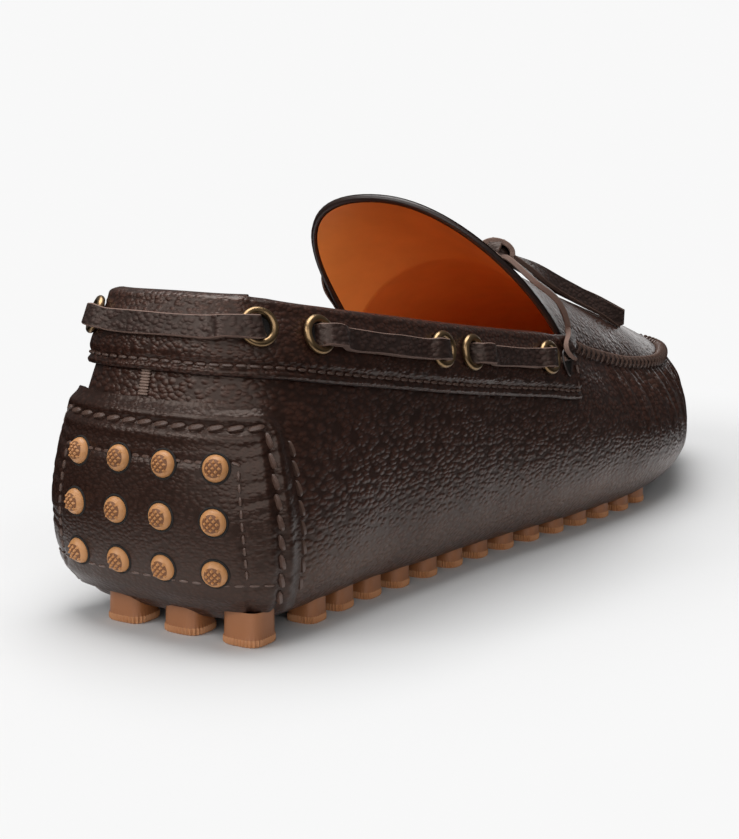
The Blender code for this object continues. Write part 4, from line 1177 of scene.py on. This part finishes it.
def patch_line(inset, first_height):
    """Points (distance round, height) up one side, over the top and down the other, at an inset."""
    corner = max(PATCH_CORNER - inset, 0.0005)
    side_top = PATCH_TOP - inset - corner
    side_place = patch_side(side_top) - inset
    half_line = [(patch_side(h) - inset, h) for h in np.linspace(first_height, side_top, 26)]
    for a in (math.pi / 2 * k / 8 for k in range(1, 8)):
        half_line.append((side_place - corner * (1 - math.cos(a)), side_top + corner * math.sin(a)))
    half_line += [(s, PATCH_TOP - inset) for s in np.linspace(side_place - corner, 0, 18)]
    return half_line + [(-s, h) for s, h in half_line[::-1][1:]]


patch = Shape()
outer_patch, edge_patch = [], []
across_steps = np.linspace(-1, 1, 150)
for height in np.linspace(PATCH_FOOT, PATCH_TOP, 96):
    from_top = PATCH_TOP - height
    pull = PATCH_CORNER - math.sqrt(max(0.0, PATCH_CORNER**2 - max(0.0, PATCH_CORNER - from_top) ** 2))
    reach = patch_side(height) - (pull if from_top < PATCH_CORNER else 0.0)
    outer_patch.append([on_patch(s, height, patch_lift(s, height)) for s in across_steps * reach])
    edge_patch.append([on_patch(s, height, GAP) for s in across_steps * reach])
patch.grid(outer_patch, 0)
outer_patch, edge_patch = np.array(outer_patch), np.array(edge_patch)
for pick in (np.s_[0, :], np.s_[-1, :], np.s_[:, 0], np.s_[:, -1]):
    patch.grid([outer_patch[pick], edge_patch[pick]], 1)


def patch_stitches(inset, first_height, stitch, slant=0.0):
    line = patch_line(inset, first_height)
    points = [on_patch(s, h, patch_lift(s, h) + 0.0001) for s, h in line]
    ups = [patch_out(s, h) for s, h in line]
    stitched_line(patch, points, ups, *stitch, 2, slant)


patch_stitches(0.0050, 0.0100, LACED_STITCH, 0.22)
patch_stitches(0.0120, 0.0160, FINE_STITCH)
foot_line = [(s, 0.0150) for s in np.linspace(-0.030, 0.030, 40)]
foot_points = [on_patch(s, h, patch_lift(s, h)) for s, h in foot_line]
foot_ups = [skin_direction(place_along(s, 1.0), 0.5) for s, _ in foot_line]
stitched_line(patch, foot_points, foot_ups, *FOOT_STITCH, 2)
for side in (1, -1):
    line = [(side * (patch_side(h) + 0.0016), h) for h in np.linspace(0.011, 0.044, 30)]
    points, ups = [on_patch(s, h, 0.0001) for s, h in line], [patch_out(s, h) for s, h in line]
    stitched_line(patch, points, ups, *SIDE_STITCH, 2, 0.2)

studs = Shape()
crown, radius = PATCH_FACE + STUD_REACH, STUD_WIDTH / 2


def dome_height(share):
    return crown - DOME + DOME * math.sqrt(1 - share**2)


STUD_STEPS = [(1.0, PATCH_FACE - 0.0012), (1.0, crown - DOME)]
STUD_STEPS += [(share, dome_height(share)) for share in DOME_SHARES]
for stud_row in range(3):
    for place in (-1.5, -0.5, 0.5, 1.5):
        t = place_along(STUD_SHIFT + place * STUD_PITCH, 1.0)
        level = level_at_height(t, STUD_TOP_ROW - stud_row * STUD_ROW_PITCH)
        centre, up = skin(t, level), skin_direction(t, level)
        side = unit(np.cross(up, (0, 0, 1.0)))
        forward = np.cross(up, side)
        rings = [
            circle(centre + up * height, side, forward, radius * share, STUD_POINTS)
            for share, height in STUD_STEPS
        ]
        studs.grid(rings[:9], 0, wrap_columns=True)
        # The crown under the knurls takes the darker groove colour, a painted shade.
        studs.grid(rings[8:], 1, wrap_columns=True)
        studs.polygon(rings[-1], 1)
        for i in range(-3, 4):
            for j in range(-3, 4):
                u, v = (i + j) * KNURL / 2, (i - j) * KNURL / 2
                share = math.hypot(u, v) / radius
                if share > KNURL_REACH:
                    continue
                middle = centre + side * u + forward * v + up * dome_height(share)
                foot = circle(middle - up * KNURL_HEIGHT, side, forward, KNURL * 0.48, 4)
                tip = circle(middle + up * KNURL_HEIGHT, side, forward, KNURL * 0.13, 4)
                studs.grid([foot, tip], 0, wrap_columns=True)
                studs.polygon(tip, 0)
        # A thin near-black ring round each stud's foot is a painted shadow.
        ring = circle(centre + up * (PATCH_FACE - 0.00010), side, forward, radius + 0.00020, 36)
        patch.tube(ring, 0.00030, 8, 3, closed=True, up=up)
patch.build("heel_patch_leather", [PATCH_LEATHER, EDGE_LEATHER, THREAD, PAINTED_SHADE], ("heel_patch",), "leather")
studs.build("heel_stud_domes", [STUD_RUBBER, STUD_GROOVE_SHADE], ("heel_studs",), "rubber")


# Floor and light
# A white sweep under a wide soft box overhead, with a key well to the camera's left, a broad fill behind it
# and a small card beyond the toe. The far floor and the backdrop glow for the camera alone.
FLOOR_HALF = 12.0
floor = bpy.data.objects.new("floor", bpy.data.meshes.new("floor"))
corners = [(x * FLOOR_HALF, y * FLOOR_HALF, 0) for x, y in ((-1, -1), (1, -1), (1, 1), (-1, 1))]
floor.data.from_pydata(corners, [], [(0, 1, 2, 3)])
floor_finish, nodes, link, shader = new_material("white floor")
shader.inputs["Roughness"].default_value = 0.75
sight = add_node(nodes, "LightPath")
white = add_mix(nodes, (0.86, 0.86, 0.86), (0.63, 0.63, 0.63))
link(sight.outputs["Is Camera Ray"], white.inputs[0])
link(white.outputs[2], shader.inputs["Base Color"])
place = add_node(nodes, "TexCoord")
oval = add_node(nodes, "Mapping", {"Scale": (1.0, 0.45, 1.0)})
reach = add_node(nodes, "VectorMath")
reach.operation = "LENGTH"
fade = add_node(nodes, "MapRange", {"From Min": 0.065, "From Max": 0.125})
fade.interpolation_type = "SMOOTHSTEP"
link(place.outputs["Object"], oval.inputs["Vector"])
link(oval.outputs["Vector"], reach.inputs[0])
link(reach.outputs["Value"], fade.inputs["Value"])
glow = add_node(nodes, "Emission", {"Color": (0.94, 0.94, 0.94, 1)})
blend = add_node(nodes, "MixShader")
link(sight.outputs["Is Camera Ray"], glow.inputs["Strength"])
link(fade.outputs["Result"], blend.inputs["Fac"])
link(shader.outputs["BSDF"], blend.inputs[1])
link(glow.outputs["Emission"], blend.inputs[2])
link(blend.outputs["Shader"], nodes["Material Output"].inputs["Surface"])
floor.data.materials.append(floor_finish)
bpy.context.collection.objects.link(floor)

world = bpy.data.worlds.new("studio")
bpy.context.scene.world = world
world.use_nodes = True
nodes, link = world.node_tree.nodes, world.node_tree.links.new
sky = nodes["Background"]
sky.inputs["Color"].default_value = (0.97, 0.975, 0.98, 1)
sky.inputs["Strength"].default_value = 0.11
backdrop = add_node(nodes, "Background", {"Color": (0.94, 0.94, 0.94, 1), "Strength": 1.0})
sight = add_node(nodes, "LightPath")
blend = add_node(nodes, "MixShader")
link(sight.outputs["Is Camera Ray"], blend.inputs["Fac"])
link(sky.outputs["Background"], blend.inputs[1])
link(backdrop.outputs["Background"], blend.inputs[2])
link(blend.outputs["Shader"], nodes["World Output"].inputs["Surface"])
bpy.context.scene.view_settings.view_transform = "Standard"


def soft_light(name, place, target, size, power):
    light = bpy.data.lights.new(name, "AREA")
    light.shape = "RECTANGLE"
    light.size, light.size_y = size
    light.energy = power
    lamp = bpy.data.objects.new(name, light)
    bpy.context.collection.objects.link(lamp)
    lamp.location = place
    reach = np.array(target) - np.array(place)
    yaw = math.atan2(-reach[0], reach[1])
    pitch = math.atan2(reach[2], math.hypot(reach[0], reach[1]))
    lamp.rotation_euler = Euler((math.pi / 2 + pitch, 0, yaw))


soft_light("overhead", (-0.15, 0.05, 1.15), (0, 0, 0.0), (1.0, 1.0), 17.0)
soft_light("key", (-0.40, -0.85, 0.60), (0, -0.05, 0.03), (0.50, 0.50), 3.5)
soft_light("front_fill", (0.40, -0.80, 0.36), (0, 0.0, 0.06), (1.30, 0.90), 5.5)
soft_light("back_card", (-0.15, 0.90, 0.16), (0.02, 0.12, 0.03), (0.36, 0.26), 0.5)
